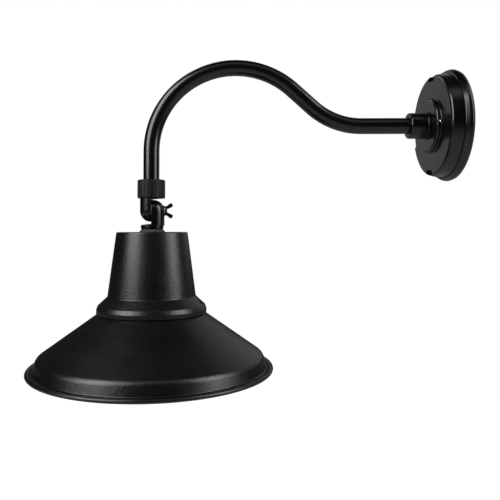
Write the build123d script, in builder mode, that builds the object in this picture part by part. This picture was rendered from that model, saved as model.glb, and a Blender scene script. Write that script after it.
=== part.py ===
"""Gooseneck wall sconce, in millimetres.

The origin is the centre of the wall side of the mounting base. The wall is the plane Y = 0, the
arm reaches out along -Y, and +Z is up. The arm ends in an upright limb at Y = -reach, and the lamp
hangs on an upright axis lamp_offset behind it.
"""

from build123d import *
from math import cos, radians, sin
import os

# Overall layout
reach = 386.3                 # wall to the axis of the arm's limb
lamp_offset = 1.3             # limb's axis back to the lamp's axis

# Clearances
thread_gap = 0.05             # screw in its tapped hole
turn_gap = 0.08               # shaft that turns in a bore
slip_gap = 0.3                # parts that pass each other
hole_gap = 0.25               # screw in a plain hole
edge_match = 0.01             # how near an edge lies to the size that picks it

# Pan head screws, as shares of the head's height or radius
head_round = 0.4
recess_span = 1.1
recess_w = 0.28
recess_depth = 0.5

# Arm tube
tube_r = 10.3
tube_wall = 1.8
arch_bend_r = 108.95
reverse_bend_r = 93.0
bend_angle = 42.6             # slope between the two bends
slope_length = 34.6
lead_r = 1.3
lead_spread = 3.0             # each lead's distance from the tube's centreline

# Wall mount
gasket_t = 2.0
gasket_inset = 1.2            # base's edge to the gasket's edge
gasket_w = 9.7
base_r = 71.5
base_rim_w = 10.9             # base's edge to the inside of its rim
base_rim_t = 8.2
base_floor_t = 4.0
base_bead_r = 3.9
wire_hole_r = 30.0
box_screw_spacing = 88.9      # 3 1/2 inch wall box
box_slot_length = 10.0
box_slot_r = 2.3
ground_screw_r = 2.0
ground_head_r = 4.4
ground_head_h = 3.0
ground_place = (-30.0, -34.0)
cap_depth = 24.8              # wall to the cap's front face
cap_foot_inset = 4.5          # base's edge to the cap's foot
cap_draft = 2.3               # cap's foot to its front, along the radius
cap_wall = 2.4
cap_edge_round = 3.2
boss_r = 35.0
boss_h = 6.0
boss_depth = 10.8
boss_round = 3.6
boss_base_round = 2.2
notch_angles = (5.0, -100.0, -171.0)   # from +Z, turning towards +X
notch_reach = 7.5             # cap's front edge to the notch's inner wall
notch_w = 19.0
notch_depth = 5.4
notch_floor_t = 2.2
notch_wall = 2.2
notch_wall_bury = 1.4         # notch walls into the cap's side wall
cap_screw_inset = 4.7         # cap's front edge to the screws' circle
post_r = 3.2
cap_screw_r = 1.5
cap_screw_head_r = 2.5
cap_screw_head_h = 1.8
cap_screw_length = 9.0
set_screw_r = 2.5
set_screw_socket = 2.5
set_screw_depth = 2.6
set_screw_setback = 1.6       # from the boss's full radius to the screw's outer end
set_screw_stand = 2.7         # cap's face to the screw's axis

# Hub and the nut behind the cap
hub_washer_edge = 1.2         # hub's side to the washer's edge
hub_washer_t = 3.4
hub_wall = 6.3
hub_length = 20.7
hub_round = 2.0
lockwasher_w = 4.7
lockwasher_t = 1.2
locknut_wall = 3.2            # tube to the nut's flats
locknut_t = 5.5
arm_stand_out = 1.8           # arm end past the locknut
bushing_lip_inset = 0.7       # tube's outside to the lip's edge
bushing_lip_t = 2.0
bushing_wall = 1.2
bushing_length = 9.0

# Swivel collar
arm_end_drop = 84.0           # arm centreline at the wall down to the arm's lower end
collar_wall = 7.5
collar_top_drop = 69.5
collar_h = 23.4
collar_chamfer = 0.9
knurl_square = 0.75           # side of the square that cuts each groove
knurl_count = 56
seal_t = 1.2
spigot_head_gap = 0.8         # tube's outside to the head's edge
spigot_head_t = 2.6
spigot_step = 2.0             # head's edge to the neck
wireway_r = 4.2

# Knuckle
pivot_drop = 109.0
knuckle_r = 14.0
upper_depth = 14.8
lower_depth = 15.65
pivot_washer_t = 0.8
pivot_washer_inset = 0.6      # knuckle's edge to the washer's edge
pivot_washer_lip = 0.7        # pocket's edge to the washer's bore
pocket_inner_r = 5.0
pocket_outer_r = 9.2
pocket_depth = 4.5
leadway_r = 2.8
foot_r = 14.5
foot_h = 5.5
foot_slope = 2.4
foot_chamfer = 1.3
foot_drop = 18.1              # pivot axis down to the edge of the foot's top
seat_r = 6.6
seat_h = 5.0                  # boss under the wing washer, down into the dome
seat_stand = 0.3              # boss proud of the dome
stem_r = 7.0
stem_length = 17.5
stem_bore_r = 4.4

# Wing screw
wing_screw_r = 3.0
wing_screw_reach = 8.5        # thread in the upper half
wing_washer_r = 6.4
wing_washer_t = 0.8
wing_hub_r = 6.0
wing_hub_h = 2.0
wing_hub_round = 0.9
wing_splay = 32.0
wing_length = 9.1
wing_w = 4.4
wing_t = 3.0
wing_corner_round = 0.6
wing_root = 3.4               # pivot's axis to the root of a wing
wing_sink = 0.8               # root of a wing below the hub's top

# Lamp housing
neck_gasket_h = 3.4
neck_inset = 0.8              # knuckle's foot to the gasket's top edge
neck_flare = 2.9
can_top_r = 45.25
can_base_r = 55.7
can_h = 80.7
can_wall = 2.6
can_top_wall = 3.0
can_round = 2.6
skirt_flare = 11.8            # foot of the can to the skirt's corner, along the radius
skirt_h = 10.8
band_swell = 1.8              # skirt's corner to the band's widest place, along the radius
band_h = 10.0
band_bulge = 5.0              # skirt corner down to the band's widest place
band_wall = 1.8
skirt_seat_h = 15.4           # foot of the can down to the shade's seat
stem_washer_w = 5.0
stem_washer_t = 1.5
stem_nut_wall = 3.0           # stem to the nut's flats
stem_nut_t = 5.5

# Light engine
spreader_gap = 1.3            # can's inside to the plate
spreader_t = 4.0
spreader_above_seat = 10.0    # shade's seat up to the plate's underside
rib_w = 3.0
rib_h = 15.0
mount_post_r = 4.4
mount_post_inset = 8.9        # can's inside to the posts' circle
mount_post_count = 3
m4_r = 2.0
m4_head_r = 2.9
m4_head_h = 2.2
m4_length = 12.0
m3_r = 1.5
m3_head_r = 2.7
m3_head_h = 1.8
driver_inset = 3.0            # board's edge to the driver's side
driver_h = 32.0
driver_round = 2.5
driver_ear_r = 4.0
driver_ear_t = 2.5
driver_ear_reach = 5.5        # driver's side to the middle of an ear
board_gap = 2.0               # reflector's top to the board's edge
board_t = 1.6
chip_size = 3.5
chip_t = 0.8
chip_inset = 9.0              # board's screws to the outer ring of chips
chip_counts = (1, 6, 12)      # middle ring to outer ring
board_screw_inset = 5.0
board_screw_count = 3
reflector_lip_w = 3.2         # lens's edge to the reflector's mouth
reflector_flare = 6.2
reflector_t = 1.0
reflector_h = 12.0
lens_gasket_t = 1.0
lens_gap = 0.4                # ring's wall to the lens's edge
lens_t = 2.5
lens_ring_gap = 1.1           # can's inside to the ring
lens_ring_wall = 4.2
lens_ring_lip_w = 3.2
lens_ring_lip_t = 2.2
lens_screw_count = 3
lens_screw_r = 1.1
lens_screw_head_r = 1.8
lens_screw_head_h = 1.6
lens_screw_length = 19.0

# Shade
rim_r = 152.4                 # 12 inch shade
shade_h = 72.2                # seat down to the middle of the rolled rim
bead_r = 2.5
shade_t = 1.2
seat_overlap = 1.4            # can's inside to the edge of the shade's hole
seat_gap = 0.6                # band's inside to the shade's seat
cone_start_below_seat = 5.3
shoulder_inset = 12.5         # rim's edge to the shoulder
shoulder_above_rim = 15.85
shoulder_round = 10.0
skirt_foot_inset = 6.9        # rim's edge to the foot of the shade's skirt
skirt_foot_above_rim = 2.0
web_end_above_rim = 1.4
seat_round = 1.6
shade_screw_inset = 4.3       # band's inside to the screws' circle
shade_screw_angles = (80.0, 260.0)
shade_screw_head_r = 2.8
shade_pocket_r = 3.2
shade_pocket_above_seat = 3.4
shade_screw_length = 7.0

# Radii worked out from the sizes above
gasket_outer_r = base_r - gasket_inset
gasket_inner_r = gasket_outer_r - gasket_w
base_inner_r = base_r - base_rim_w
cap_foot_r = base_r - cap_foot_inset
cap_front_r = cap_foot_r - cap_draft
notch_inner_r = cap_front_r - notch_reach
cap_screw_circle = cap_front_r - cap_screw_inset
tube_inner_r = tube_r - tube_wall
hub_r = tube_r + hub_wall
hub_washer_r = hub_r + hub_washer_edge
lockwasher_r = tube_r + lockwasher_w
locknut_flats = 2 * (tube_r + locknut_wall)
bushing_lip_r = tube_r - bushing_lip_inset
collar_r = tube_r + collar_wall
spigot_head_r = tube_r - spigot_head_gap
spigot_neck_r = spigot_head_r - spigot_step
pivot_washer_inner_r = pocket_outer_r + pivot_washer_lip
pivot_washer_outer_r = knuckle_r - pivot_washer_inset
neck_top_r = foot_r - neck_inset
neck_foot_r = neck_top_r + neck_flare
stem_washer_r = stem_r + stem_washer_w
stem_nut_flats = 2 * (stem_r + stem_nut_wall)
can_inner_r = can_base_r - can_wall
skirt_r = can_base_r + skirt_flare
band_r = skirt_r + band_swell
band_inner_r = band_r - band_wall
seat_inner_r = can_inner_r + seat_overlap
seat_outer_r = band_inner_r - seat_gap
shade_screw_circle = band_inner_r - shade_screw_inset
mount_post_circle = can_inner_r - mount_post_inset
spreader_r = can_inner_r - spreader_gap
lens_ring_r = can_inner_r - lens_ring_gap
lens_ring_wall_r = lens_ring_r - lens_ring_wall
lens_ring_lip_r = lens_ring_wall_r - lens_ring_lip_w
lens_screw_circle = (lens_ring_r + lens_ring_wall_r) / 2
lens_r = lens_ring_wall_r - lens_gap
reflector_foot_r = lens_r - reflector_lip_w
reflector_top_r = reflector_foot_r - reflector_flare
board_r = reflector_top_r - board_gap
board_screw_circle = board_r - board_screw_inset
chip_pitch = (board_screw_circle - chip_inset) / (len(chip_counts) - 1)
driver_r = board_r - driver_inset
driver_ear_x = driver_r + driver_ear_reach
shoulder_r = rim_r - shoulder_inset
skirt_foot_r = rim_r - skirt_foot_inset

# Levels worked out from the sizes above
lamp_reach = reach - lamp_offset
wall_stub_y = arch_bend_r + (arch_bend_r + reverse_bend_r) * sin(radians(bend_angle))
wall_stub_y = wall_stub_y + slope_length * cos(radians(bend_angle)) - reach
arm_end_z = -arm_end_drop
collar_top_z = -collar_top_drop
collar_foot_z = collar_top_z - collar_h
spigot_top_z = arm_end_z - seal_t - turn_gap
spigot_shoulder_z = spigot_top_z - spigot_head_t
pivot_z = -pivot_drop
foot_edge_z = pivot_z - foot_drop
foot_base_z = foot_edge_z - foot_h
can_top_z = foot_base_z - neck_gasket_h
can_foot_z = can_top_z - can_h
skirt_corner_z = can_foot_z - skirt_h
band_foot_z = skirt_corner_z - band_h
seat_z = can_foot_z - skirt_seat_h
rim_z = seat_z - shade_h
plate_z = seat_z + spreader_above_seat
gasket_z = plate_z - reflector_h
lens_z = gasket_z - lens_gasket_t
lip_z = lens_z - lens_t
lens_ring_z = lip_z - lens_ring_lip_t

# Levels along Y at the wall, negative towards the lamp
base_back_y = -gasket_t
base_floor_y = base_back_y - base_floor_t
base_front_y = base_back_y - base_rim_t
cap_face_y = -cap_depth
boss_face_y = cap_face_y - boss_h
boss_back_y = boss_face_y + boss_depth
hub_foot_y = boss_face_y - hub_washer_t
locknut_y = boss_back_y + lockwasher_t
arm_wall_end_y = locknut_y + locknut_t + arm_stand_out
notch_floor_y = cap_face_y + notch_depth
post_top_y = notch_floor_y + notch_floor_t
set_screw_y = cap_face_y - set_screw_stand

# Knuckle faces along Y
lower_face_y = -lamp_reach
upper_face_y = lower_face_y - pivot_washer_t
lower_back_y = lower_face_y + lower_depth
seat_face_y = lower_back_y + seat_stand
wing_seat_y = seat_face_y + wing_washer_t

# Section planes: X is the radius, Y is the height or the depth
limb_axis = Axis((0, -reach, 0), (0, 0, 1))
limb_section = Plane.XZ.offset(reach)
lamp_axis = Axis((0, -lamp_reach, 0), (0, 0, 1))
lamp_section = Plane.XZ.offset(lamp_reach)
wall_section = Plane.XY


def lamp_level(z):
    """Horizontal plane whose origin is on the lamp's axis."""
    return Plane((0, -lamp_reach, z))


def limb_level(z):
    """Horizontal plane whose origin is on the axis of the arm's limb."""
    return Plane((0, -reach, z))


def wall_level(y):
    """Upright plane at a depth, facing the lamp, with X to the right and Z up."""
    return Plane.XZ.offset(-y)


def pivot_level(y):
    """Upright plane at a depth, facing the lamp, with its origin on the pivot's axis."""
    return Plane((0, y, pivot_z), x_dir=(1, 0, 0), z_dir=(0, -1, 0))


def notch_level(y, angle):
    """Upright plane at a depth whose Y axis points from the centre to the notch."""
    turn = radians(angle)
    return Plane((0, y, 0), x_dir=(cos(turn), 0, -sin(turn)), z_dir=(0, -1, 0))


def outline(plane, points):
    """Closed face through the points."""
    with BuildSketch(plane) as face:
        with BuildLine():
            Polyline(*points, close=True)
        make_face()
    return face.sketch


def circles_at(edges, radius, centre):
    """Circular edges of a radius about a centre."""
    circles = edges.filter_by(GeomType.CIRCLE)
    return circles.filter_by(
        lambda e: abs(e.radius - radius) < edge_match and (e.arc_center - centre).length < edge_match)


def washer(plane, inner_r, outer_r, thickness):
    """Flat ring that rises from the plane."""
    with BuildPart() as ring:
        with BuildSketch(plane):
            Circle(outer_r)
            Circle(inner_r, mode=Mode.SUBTRACT)
        extrude(amount=thickness)
    return ring.part


def screw(plane, shank_r, shank_length, head_r, head_h):
    """Pan head screw: the head rises from the plane and the shank goes down."""
    with BuildPart() as fastener:
        with BuildSketch(plane):
            Circle(head_r)
        extrude(amount=head_h)
        top = fastener.faces().sort_by(Axis(plane.origin, plane.z_dir))[-1]
        fillet(top.edges(), head_h * head_round)
        with BuildSketch(plane.offset(head_h)):
            Rectangle(head_r * recess_span, head_r * recess_w)
            Rectangle(head_r * recess_w, head_r * recess_span)
        extrude(amount=-head_h * recess_depth, mode=Mode.SUBTRACT)
        with BuildSketch(plane):
            Circle(shank_r)
        extrude(amount=-shank_length)
    return fastener.part


def hex_nut(plane, flats, bore_r, thickness):
    """Hexagon nut that rises from the plane."""
    with BuildPart() as nut:
        with BuildSketch(plane):
            RegularPolygon(flats / 2, 6, major_radius=False)
            Circle(bore_r, mode=Mode.SUBTRACT)
        extrude(amount=thickness)
    return nut.part


def save(piece, name):
    """Label a finished piece and write it to its own file."""
    piece.label = name
    export_step(piece, f"parts/{name}.step")


os.makedirs("parts", exist_ok=True)

# ---------------------------------------------------------------- wall mount

with BuildPart() as wall_gasket:
    with BuildSketch(wall_level(0)):
        Circle(gasket_outer_r)
        Circle(gasket_inner_r, mode=Mode.SUBTRACT)
    extrude(amount=gasket_t)
save(wall_gasket.part, "wall_gasket")

# The posts stand behind the notches of the cap and take its screws.
notch_spots = [(sin(radians(a)) * cap_screw_circle, cos(radians(a)) * cap_screw_circle)
               for a in notch_angles]
with BuildPart() as mounting_base:
    with BuildSketch(wall_level(base_back_y)):
        Circle(base_r)
    extrude(amount=base_rim_t)
    rim_edges = mounting_base.edges().filter_by(GeomType.CIRCLE)
    fillet(rim_edges, base_bead_r)
    with BuildSketch(wall_level(base_floor_y)):
        Circle(base_inner_r)
    extrude(amount=base_rim_t, mode=Mode.SUBTRACT)
    with BuildSketch(wall_level(base_floor_y)):
        with Locations(*notch_spots):
            Circle(post_r)
    extrude(amount=base_floor_y - post_top_y)
    with BuildSketch(wall_level(base_back_y)):
        Circle(wire_hole_r)
        with Locations((0, box_screw_spacing / 2), (0, -box_screw_spacing / 2)):
            SlotOverall(box_slot_length, box_slot_r * 2, rotation=90)
        with Locations(ground_place):
            Circle(ground_screw_r + thread_gap)
    extrude(amount=base_floor_t, mode=Mode.SUBTRACT)
    with BuildSketch(wall_level(post_top_y)):
        with Locations(*notch_spots):
            Circle(cap_screw_r + thread_gap)
    extrude(amount=notch_floor_t - cap_screw_length, mode=Mode.SUBTRACT)
save(mounting_base.part, "mounting_base")

with BuildPart() as ground_screw:
    with BuildSketch(wall_level(base_floor_y)):
        with Locations(ground_place):
            RegularPolygon(ground_head_r, 6)
    extrude(amount=ground_head_h)
    with BuildSketch(wall_level(base_floor_y)):
        with Locations(ground_place):
            Circle(ground_screw_r)
    extrude(amount=-base_floor_t)
save(ground_screw.part, "ground_screw")

cap_inner_front_r = cap_front_r - cap_wall
cap_bore_r = tube_r + thread_gap
with BuildPart() as canopy_cap:
    revolve(
        outline(
            wall_section,
            [
                (cap_bore_r, boss_face_y),
                (boss_r, boss_face_y),
                (boss_r, cap_face_y),
                (cap_front_r, cap_face_y),
                (cap_foot_r, base_front_y),
                (cap_foot_r - cap_wall, base_front_y),
                (cap_inner_front_r, cap_face_y + cap_wall),
                (boss_r - cap_wall, cap_face_y + cap_wall),
                (boss_r - cap_wall, boss_back_y),
                (cap_bore_r, boss_back_y),
            ],
        ),
        axis=Axis.Y,
    )
    boss_rim = circles_at(canopy_cap.edges(), boss_r, Vector(0, boss_face_y, 0))
    boss_foot = circles_at(canopy_cap.edges(), boss_r, Vector(0, cap_face_y, 0))
    front_rim = circles_at(canopy_cap.edges(), cap_front_r, Vector(0, cap_face_y, 0))
    fillet(boss_rim, boss_round)
    fillet(boss_foot, boss_base_round)
    fillet(front_rim, cap_edge_round)
    for angle in notch_angles:
        shelf_low = notch_inner_r - notch_wall
        shelf_high = cap_inner_front_r + notch_wall_bury
        with BuildSketch(notch_level(cap_face_y + cap_wall, angle)):
            with Locations((0, (shelf_low + shelf_high) / 2)):
                Rectangle(notch_w + 2 * notch_wall, shelf_high - shelf_low)
        extrude(amount=cap_face_y + cap_wall - post_top_y)
        with BuildSketch(notch_level(notch_floor_y, angle)):
            with Locations((0, (notch_inner_r + base_r) / 2)):
                Rectangle(notch_w, base_r - notch_inner_r)
        extrude(amount=notch_depth + boss_h, mode=Mode.SUBTRACT)
    with BuildSketch(wall_level(post_top_y)):
        with Locations(*notch_spots):
            Circle(cap_screw_r + hole_gap)
    extrude(amount=notch_floor_t, mode=Mode.SUBTRACT)
    with BuildSketch(Plane((0, set_screw_y, 0), x_dir=(0, 1, 0), z_dir=(1, 0, 0))):
        Circle(set_screw_r + thread_gap)
    extrude(amount=boss_r + set_screw_r, mode=Mode.SUBTRACT)
save(canopy_cap.part, "canopy_cap")

cap_screws = []
for spot in notch_spots:
    seat = Plane((spot[0], notch_floor_y, spot[1]), x_dir=(1, 0, 0), z_dir=(0, -1, 0))
    cap_screws.append(
        screw(seat, cap_screw_r, cap_screw_length, cap_screw_head_r, cap_screw_head_h))
save(Compound(cap_screws), "cap_screws")

with BuildPart() as boss_set_screw:
    set_screw_end = boss_r - set_screw_setback
    with BuildSketch(Plane((set_screw_end, set_screw_y, 0), x_dir=(0, 1, 0), z_dir=(1, 0, 0))):
        Circle(set_screw_r)
    extrude(amount=-(set_screw_end - tube_r - thread_gap))
    with BuildSketch(Plane((set_screw_end, set_screw_y, 0), x_dir=(0, 1, 0), z_dir=(1, 0, 0))):
        RegularPolygon(set_screw_socket / 2, 6, major_radius=False)
    extrude(amount=-set_screw_depth, mode=Mode.SUBTRACT)
save(boss_set_screw.part, "boss_set_screw")

save(washer(wall_level(boss_face_y), tube_r + hole_gap, hub_washer_r, hub_washer_t), "hub_washer")

with BuildPart() as arm_hub:
    with BuildSketch(wall_level(hub_foot_y)):
        Circle(hub_r)
    extrude(amount=hub_length)
    fillet(arm_hub.faces().sort_by(Axis.Y)[0].edges(), hub_round)
    with BuildSketch(wall_level(hub_foot_y)):
        Circle(tube_r + thread_gap)
    extrude(amount=hub_length, mode=Mode.SUBTRACT)
save(arm_hub.part, "arm_hub")

# ---------------------------------------------------------------- arm

with BuildLine(Plane.YZ) as arm_path:
    stub = Line((arm_wall_end_y, 0), (wall_stub_y, 0))
    reverse_bend = JernArc(stub @ 1, stub % 1, reverse_bend_r, -bend_angle)
    slope_end = reverse_bend @ 1 + (reverse_bend % 1) * slope_length
    slope = Line(reverse_bend @ 1, slope_end)
    arch = JernArc(slope @ 1, slope % 1, arch_bend_r, 90 + bend_angle)
    limb = Line(arch @ 1, (-reach, arm_end_z))

arm_start = Plane((0, arm_wall_end_y, 0), x_dir=(1, 0, 0), z_dir=(0, -1, 0))
with BuildPart() as arm:
    with BuildSketch(arm_start):
        Circle(tube_r)
        Circle(tube_r - tube_wall, mode=Mode.SUBTRACT)
    sweep(path=arm_path.line)
save(arm.part, "arm")

with BuildPart() as arm_leads:
    with BuildSketch(arm_start):
        with PolarLocations(lead_spread, 3):
            Circle(lead_r)
    sweep(path=arm_path.line)
save(arm_leads.part, "arm_leads")

lockwasher_plane = Plane((0, boss_back_y, 0), x_dir=(1, 0, 0), z_dir=(0, 1, 0))
save(washer(lockwasher_plane, tube_r + hole_gap, lockwasher_r, lockwasher_t), "arm_lockwasher")
locknut_plane = lockwasher_plane.offset(lockwasher_t)
save(hex_nut(locknut_plane, locknut_flats, tube_r + thread_gap, locknut_t), "arm_locknut")

with BuildPart() as wire_bushing:
    revolve(
        outline(
            wall_section,
            [
                (tube_inner_r - bushing_wall, arm_wall_end_y + bushing_lip_t),
                (bushing_lip_r, arm_wall_end_y + bushing_lip_t),
                (bushing_lip_r, arm_wall_end_y),
                (tube_inner_r - thread_gap, arm_wall_end_y),
                (tube_inner_r - thread_gap, arm_wall_end_y - bushing_length),
                (tube_inner_r - bushing_wall, arm_wall_end_y - bushing_length),
            ],
        ),
        axis=Axis.Y,
    )
save(wire_bushing.part, "wire_bushing")

# ---------------------------------------------------------------- swivel collar

save(washer(limb_level(arm_end_z - seal_t), tube_inner_r, tube_r - slip_gap, seal_t), "swivel_seal")

with BuildPart() as knurled_collar:
    revolve(
        outline(
            limb_section,
            [
                (tube_r + thread_gap, collar_top_z),
                (collar_r - collar_chamfer, collar_top_z),
                (collar_r, collar_top_z - collar_chamfer),
                (collar_r, collar_foot_z + collar_chamfer),
                (collar_r - collar_chamfer, collar_foot_z),
                (spigot_neck_r + turn_gap, collar_foot_z),
                (spigot_neck_r + turn_gap, spigot_shoulder_z - turn_gap),
                (tube_r + thread_gap, spigot_shoulder_z - turn_gap),
            ],
        ),
        axis=limb_axis,
    )
    with BuildSketch(limb_level(collar_foot_z)):
        with PolarLocations(collar_r, knurl_count):
            Rectangle(knurl_square, knurl_square, rotation=45)
    extrude(amount=collar_h, mode=Mode.SUBTRACT)
save(knurled_collar.part, "knurled_collar")

# ---------------------------------------------------------------- knuckle


def bar_section(face_y, outer_y):
    """Cross section of a knuckle half at the pivot's level: flat at the face, round outside."""
    round_y = outer_y - knuckle_r if outer_y > face_y else outer_y + knuckle_r
    with BuildSketch(Plane((0, 0, pivot_z))) as section:
        with Locations((0, round_y)):
            Circle(knuckle_r)
        with Locations((0, (face_y + outer_y) / 2)):
            Rectangle(2 * knuckle_r, abs(outer_y - face_y), mode=Mode.INTERSECT)
        with Locations((0, (face_y + round_y) / 2)):
            Rectangle(2 * knuckle_r, abs(round_y - face_y))
    return section.sketch


def knuckle_bar(face_y, outer_y, far_z):
    """Half round bar from the pivot's level to far_z, closed by a dome about the pivot."""
    rise = far_z - pivot_z
    turn_y = 1 if rise > 0 else -1
    with BuildPart() as bar:
        extrude(bar_section(face_y, outer_y), amount=rise, dir=(0, 0, 1))
        with BuildSketch(Plane((0, 0, pivot_z))):
            add(bar_section(face_y, outer_y))
            with Locations((knuckle_r / 2, (face_y + outer_y) / 2)):
                Rectangle(knuckle_r, abs(outer_y - face_y), mode=Mode.INTERSECT)
        revolve(axis=Axis((0, 0, pivot_z), (0, turn_y, 0)), revolution_arc=180)
    return bar.part


def lead_pocket(plane):
    """Ring-shaped pocket about the pivot that lets the leads cross the joint."""
    with BuildSketch(plane) as face:
        Circle(pocket_outer_r)
        Circle(pocket_inner_r, mode=Mode.SUBTRACT)
    return face.sketch


with BuildPart() as upper_knuckle:
    neck_foot_z = collar_foot_z - slip_gap
    add(knuckle_bar(upper_face_y, upper_face_y - upper_depth, neck_foot_z))
    with BuildSketch(limb_level(neck_foot_z - slip_gap * 2)):
        Circle(spigot_neck_r)
    extrude(amount=spigot_shoulder_z - neck_foot_z + slip_gap * 2)
    with BuildSketch(limb_level(spigot_shoulder_z)):
        Circle(spigot_head_r)
    extrude(amount=spigot_head_t)
    extrude(lead_pocket(pivot_level(upper_face_y)), amount=pocket_depth, mode=Mode.SUBTRACT)
    leadway_y = upper_face_y - pocket_depth
    with BuildSketch(Plane((0, leadway_y, pivot_z + pocket_inner_r))):
        Circle(leadway_r)
    extrude(amount=neck_foot_z - pivot_z - pocket_inner_r - slip_gap * 2, mode=Mode.SUBTRACT)
    with BuildSketch(limb_level(neck_foot_z - leadway_r)):
        Circle(wireway_r)
    extrude(amount=spigot_top_z - neck_foot_z + leadway_r, mode=Mode.SUBTRACT)
    with BuildSketch(pivot_level(upper_face_y)):
        Circle(wing_screw_r + turn_gap)
    extrude(amount=wing_screw_reach + slip_gap, mode=Mode.SUBTRACT)
save(upper_knuckle.part, "upper_knuckle")

pivot_washer_plane = pivot_level(lower_face_y - turn_gap)
save(
    washer(
        pivot_washer_plane,
        pivot_washer_inner_r,
        pivot_washer_outer_r,
        pivot_washer_t - turn_gap,
    ),
    "pivot_washer",
)

with BuildPart() as lower_knuckle:
    add(knuckle_bar(lower_face_y, lower_back_y, foot_edge_z))
    with BuildSketch(pivot_level(seat_face_y)):
        Circle(seat_r)
    extrude(amount=seat_h)
    revolve(
        outline(
            lamp_section,
            [
                (0, foot_edge_z + foot_slope),
                (foot_r, foot_edge_z),
                (foot_r, foot_base_z + foot_chamfer),
                (foot_r - foot_chamfer, foot_base_z),
                (stem_r, foot_base_z),
                (stem_r, foot_base_z - stem_length),
                (0, foot_base_z - stem_length),
            ],
        ),
        axis=lamp_axis,
    )
    extrude(lead_pocket(pivot_level(lower_face_y)), amount=-pocket_depth, mode=Mode.SUBTRACT)
    leadway_y = lower_face_y + pocket_depth
    with BuildSketch(Plane((0, leadway_y, pivot_z - pocket_inner_r))):
        Circle(leadway_r)
    extrude(amount=foot_base_z + foot_chamfer - pivot_z + pocket_inner_r, mode=Mode.SUBTRACT)
    with BuildSketch(lamp_level(foot_base_z - stem_length)):
        Circle(stem_bore_r)
    extrude(amount=stem_length + foot_h, mode=Mode.SUBTRACT)
    with BuildSketch(pivot_level(seat_face_y)):
        Circle(wing_screw_r + turn_gap)
    extrude(amount=seat_face_y - lower_face_y, mode=Mode.SUBTRACT)
save(lower_knuckle.part, "lower_knuckle")

wing_washer_plane = pivot_level(wing_seat_y)
save(
    washer(wing_washer_plane, wing_screw_r + slip_gap, wing_washer_r, wing_washer_t),
    "wing_washer",
)

wing_hub_y = wing_seat_y + turn_gap
with BuildPart() as wing_screw:
    with BuildSketch(pivot_level(wing_hub_y)):
        Circle(wing_hub_r)
    extrude(amount=-wing_hub_h)
    fillet(wing_screw.faces().sort_by(Axis.Y)[-1].edges(), wing_hub_round)
    with BuildSketch(pivot_level(wing_hub_y)):
        Circle(wing_screw_r)
    extrude(amount=wing_hub_y - upper_face_y + wing_screw_reach)
    for side in (1, -1):
        root = Vector(wing_hub_y + wing_hub_h - wing_sink, pivot_z + side * wing_root)
        lean = Vector(cos(radians(wing_splay)), side * sin(radians(wing_splay)))
        middle = root + lean * (wing_length / 2)
        with BuildSketch(Plane.YZ) as wing_face:
            with Locations(Location((middle.X, middle.Y, 0), (0, 0, side * wing_splay))):
                RectangleRounded(wing_length, wing_w, wing_corner_round)
        extrude(amount=wing_t / 2, both=True)
save(wing_screw.part, "wing_screw")

# ---------------------------------------------------------------- lamp housing

with BuildPart() as neck_gasket:
    revolve(
        outline(
            lamp_section,
            [
                (stem_r + hole_gap, can_top_z),
                (neck_foot_r, can_top_z),
                (neck_top_r, foot_base_z),
                (stem_r + hole_gap, foot_base_z),
            ],
        ),
        axis=lamp_axis,
    )
save(neck_gasket.part, "neck_gasket")

can_taper = (can_base_r - can_top_r) / can_h
post_foot_z = plate_z + spreader_t
with BuildPart() as housing:
    with BuildSketch(lamp_section):
        with BuildLine():
            top_wall = Line((stem_r + hole_gap, can_top_z), (can_top_r, can_top_z))
            side_wall = Line(top_wall @ 1, (can_base_r, can_foot_z))
            skirt = Line(side_wall @ 1, (skirt_r, skirt_corner_z))
            band = ThreePointArc(
                skirt @ 1,
                (band_r, skirt_corner_z - band_bulge),
                (band_r - turn_gap, band_foot_z),
            )
            Polyline(
                band @ 1,
                (band_inner_r, band_foot_z),
                (band_inner_r, seat_z),
                (can_inner_r, seat_z),
                (can_inner_r, can_foot_z),
                (can_top_r - can_wall + can_taper * can_top_wall, can_top_z - can_top_wall),
                (stem_r + hole_gap, can_top_z - can_top_wall),
                top_wall @ 0,
            )
        make_face()
    revolve(axis=lamp_axis)
    top_rim = circles_at(housing.edges(), can_top_r, Vector(0, -lamp_reach, can_top_z))
    fillet(top_rim, can_round)
    with BuildSketch(lamp_level(post_foot_z)):
        with PolarLocations(mount_post_circle, mount_post_count, start_angle=90):
            Circle(mount_post_r)
        rib_reach = can_inner_r - mount_post_circle
        with PolarLocations(mount_post_circle + rib_reach / 2, mount_post_count, start_angle=90):
            Rectangle(rib_reach, rib_w)
    extrude(amount=rib_h)
    with BuildSketch(lamp_level(post_foot_z)):
        with PolarLocations(mount_post_circle, mount_post_count, start_angle=90):
            Circle(m4_r + thread_gap)
    extrude(amount=m4_length - spreader_t + slip_gap, mode=Mode.SUBTRACT)
    shade_spots = [(shade_screw_circle * cos(radians(a)), shade_screw_circle * sin(radians(a)))
                   for a in shade_screw_angles]
    pocket_floor_z = seat_z + shade_pocket_above_seat
    with BuildSketch(lamp_level(pocket_floor_z)):
        with Locations(*shade_spots):
            Circle(shade_pocket_r)
    extrude(amount=can_foot_z - pocket_floor_z, mode=Mode.SUBTRACT)
    with BuildSketch(lamp_level(seat_z)):
        with Locations(*shade_spots):
            Circle(m4_r + hole_gap)
    extrude(amount=shade_pocket_above_seat, mode=Mode.SUBTRACT)
save(housing.part, "housing")

under_top = lamp_level(can_top_z - can_top_wall - stem_washer_t)
save(washer(under_top, stem_r + hole_gap, stem_washer_r, stem_washer_t), "stem_washer")
under_washer = under_top.offset(-stem_nut_t)
save(hex_nut(under_washer, stem_nut_flats, stem_r + thread_gap, stem_nut_t), "stem_locknut")

# ---------------------------------------------------------------- light engine

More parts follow.
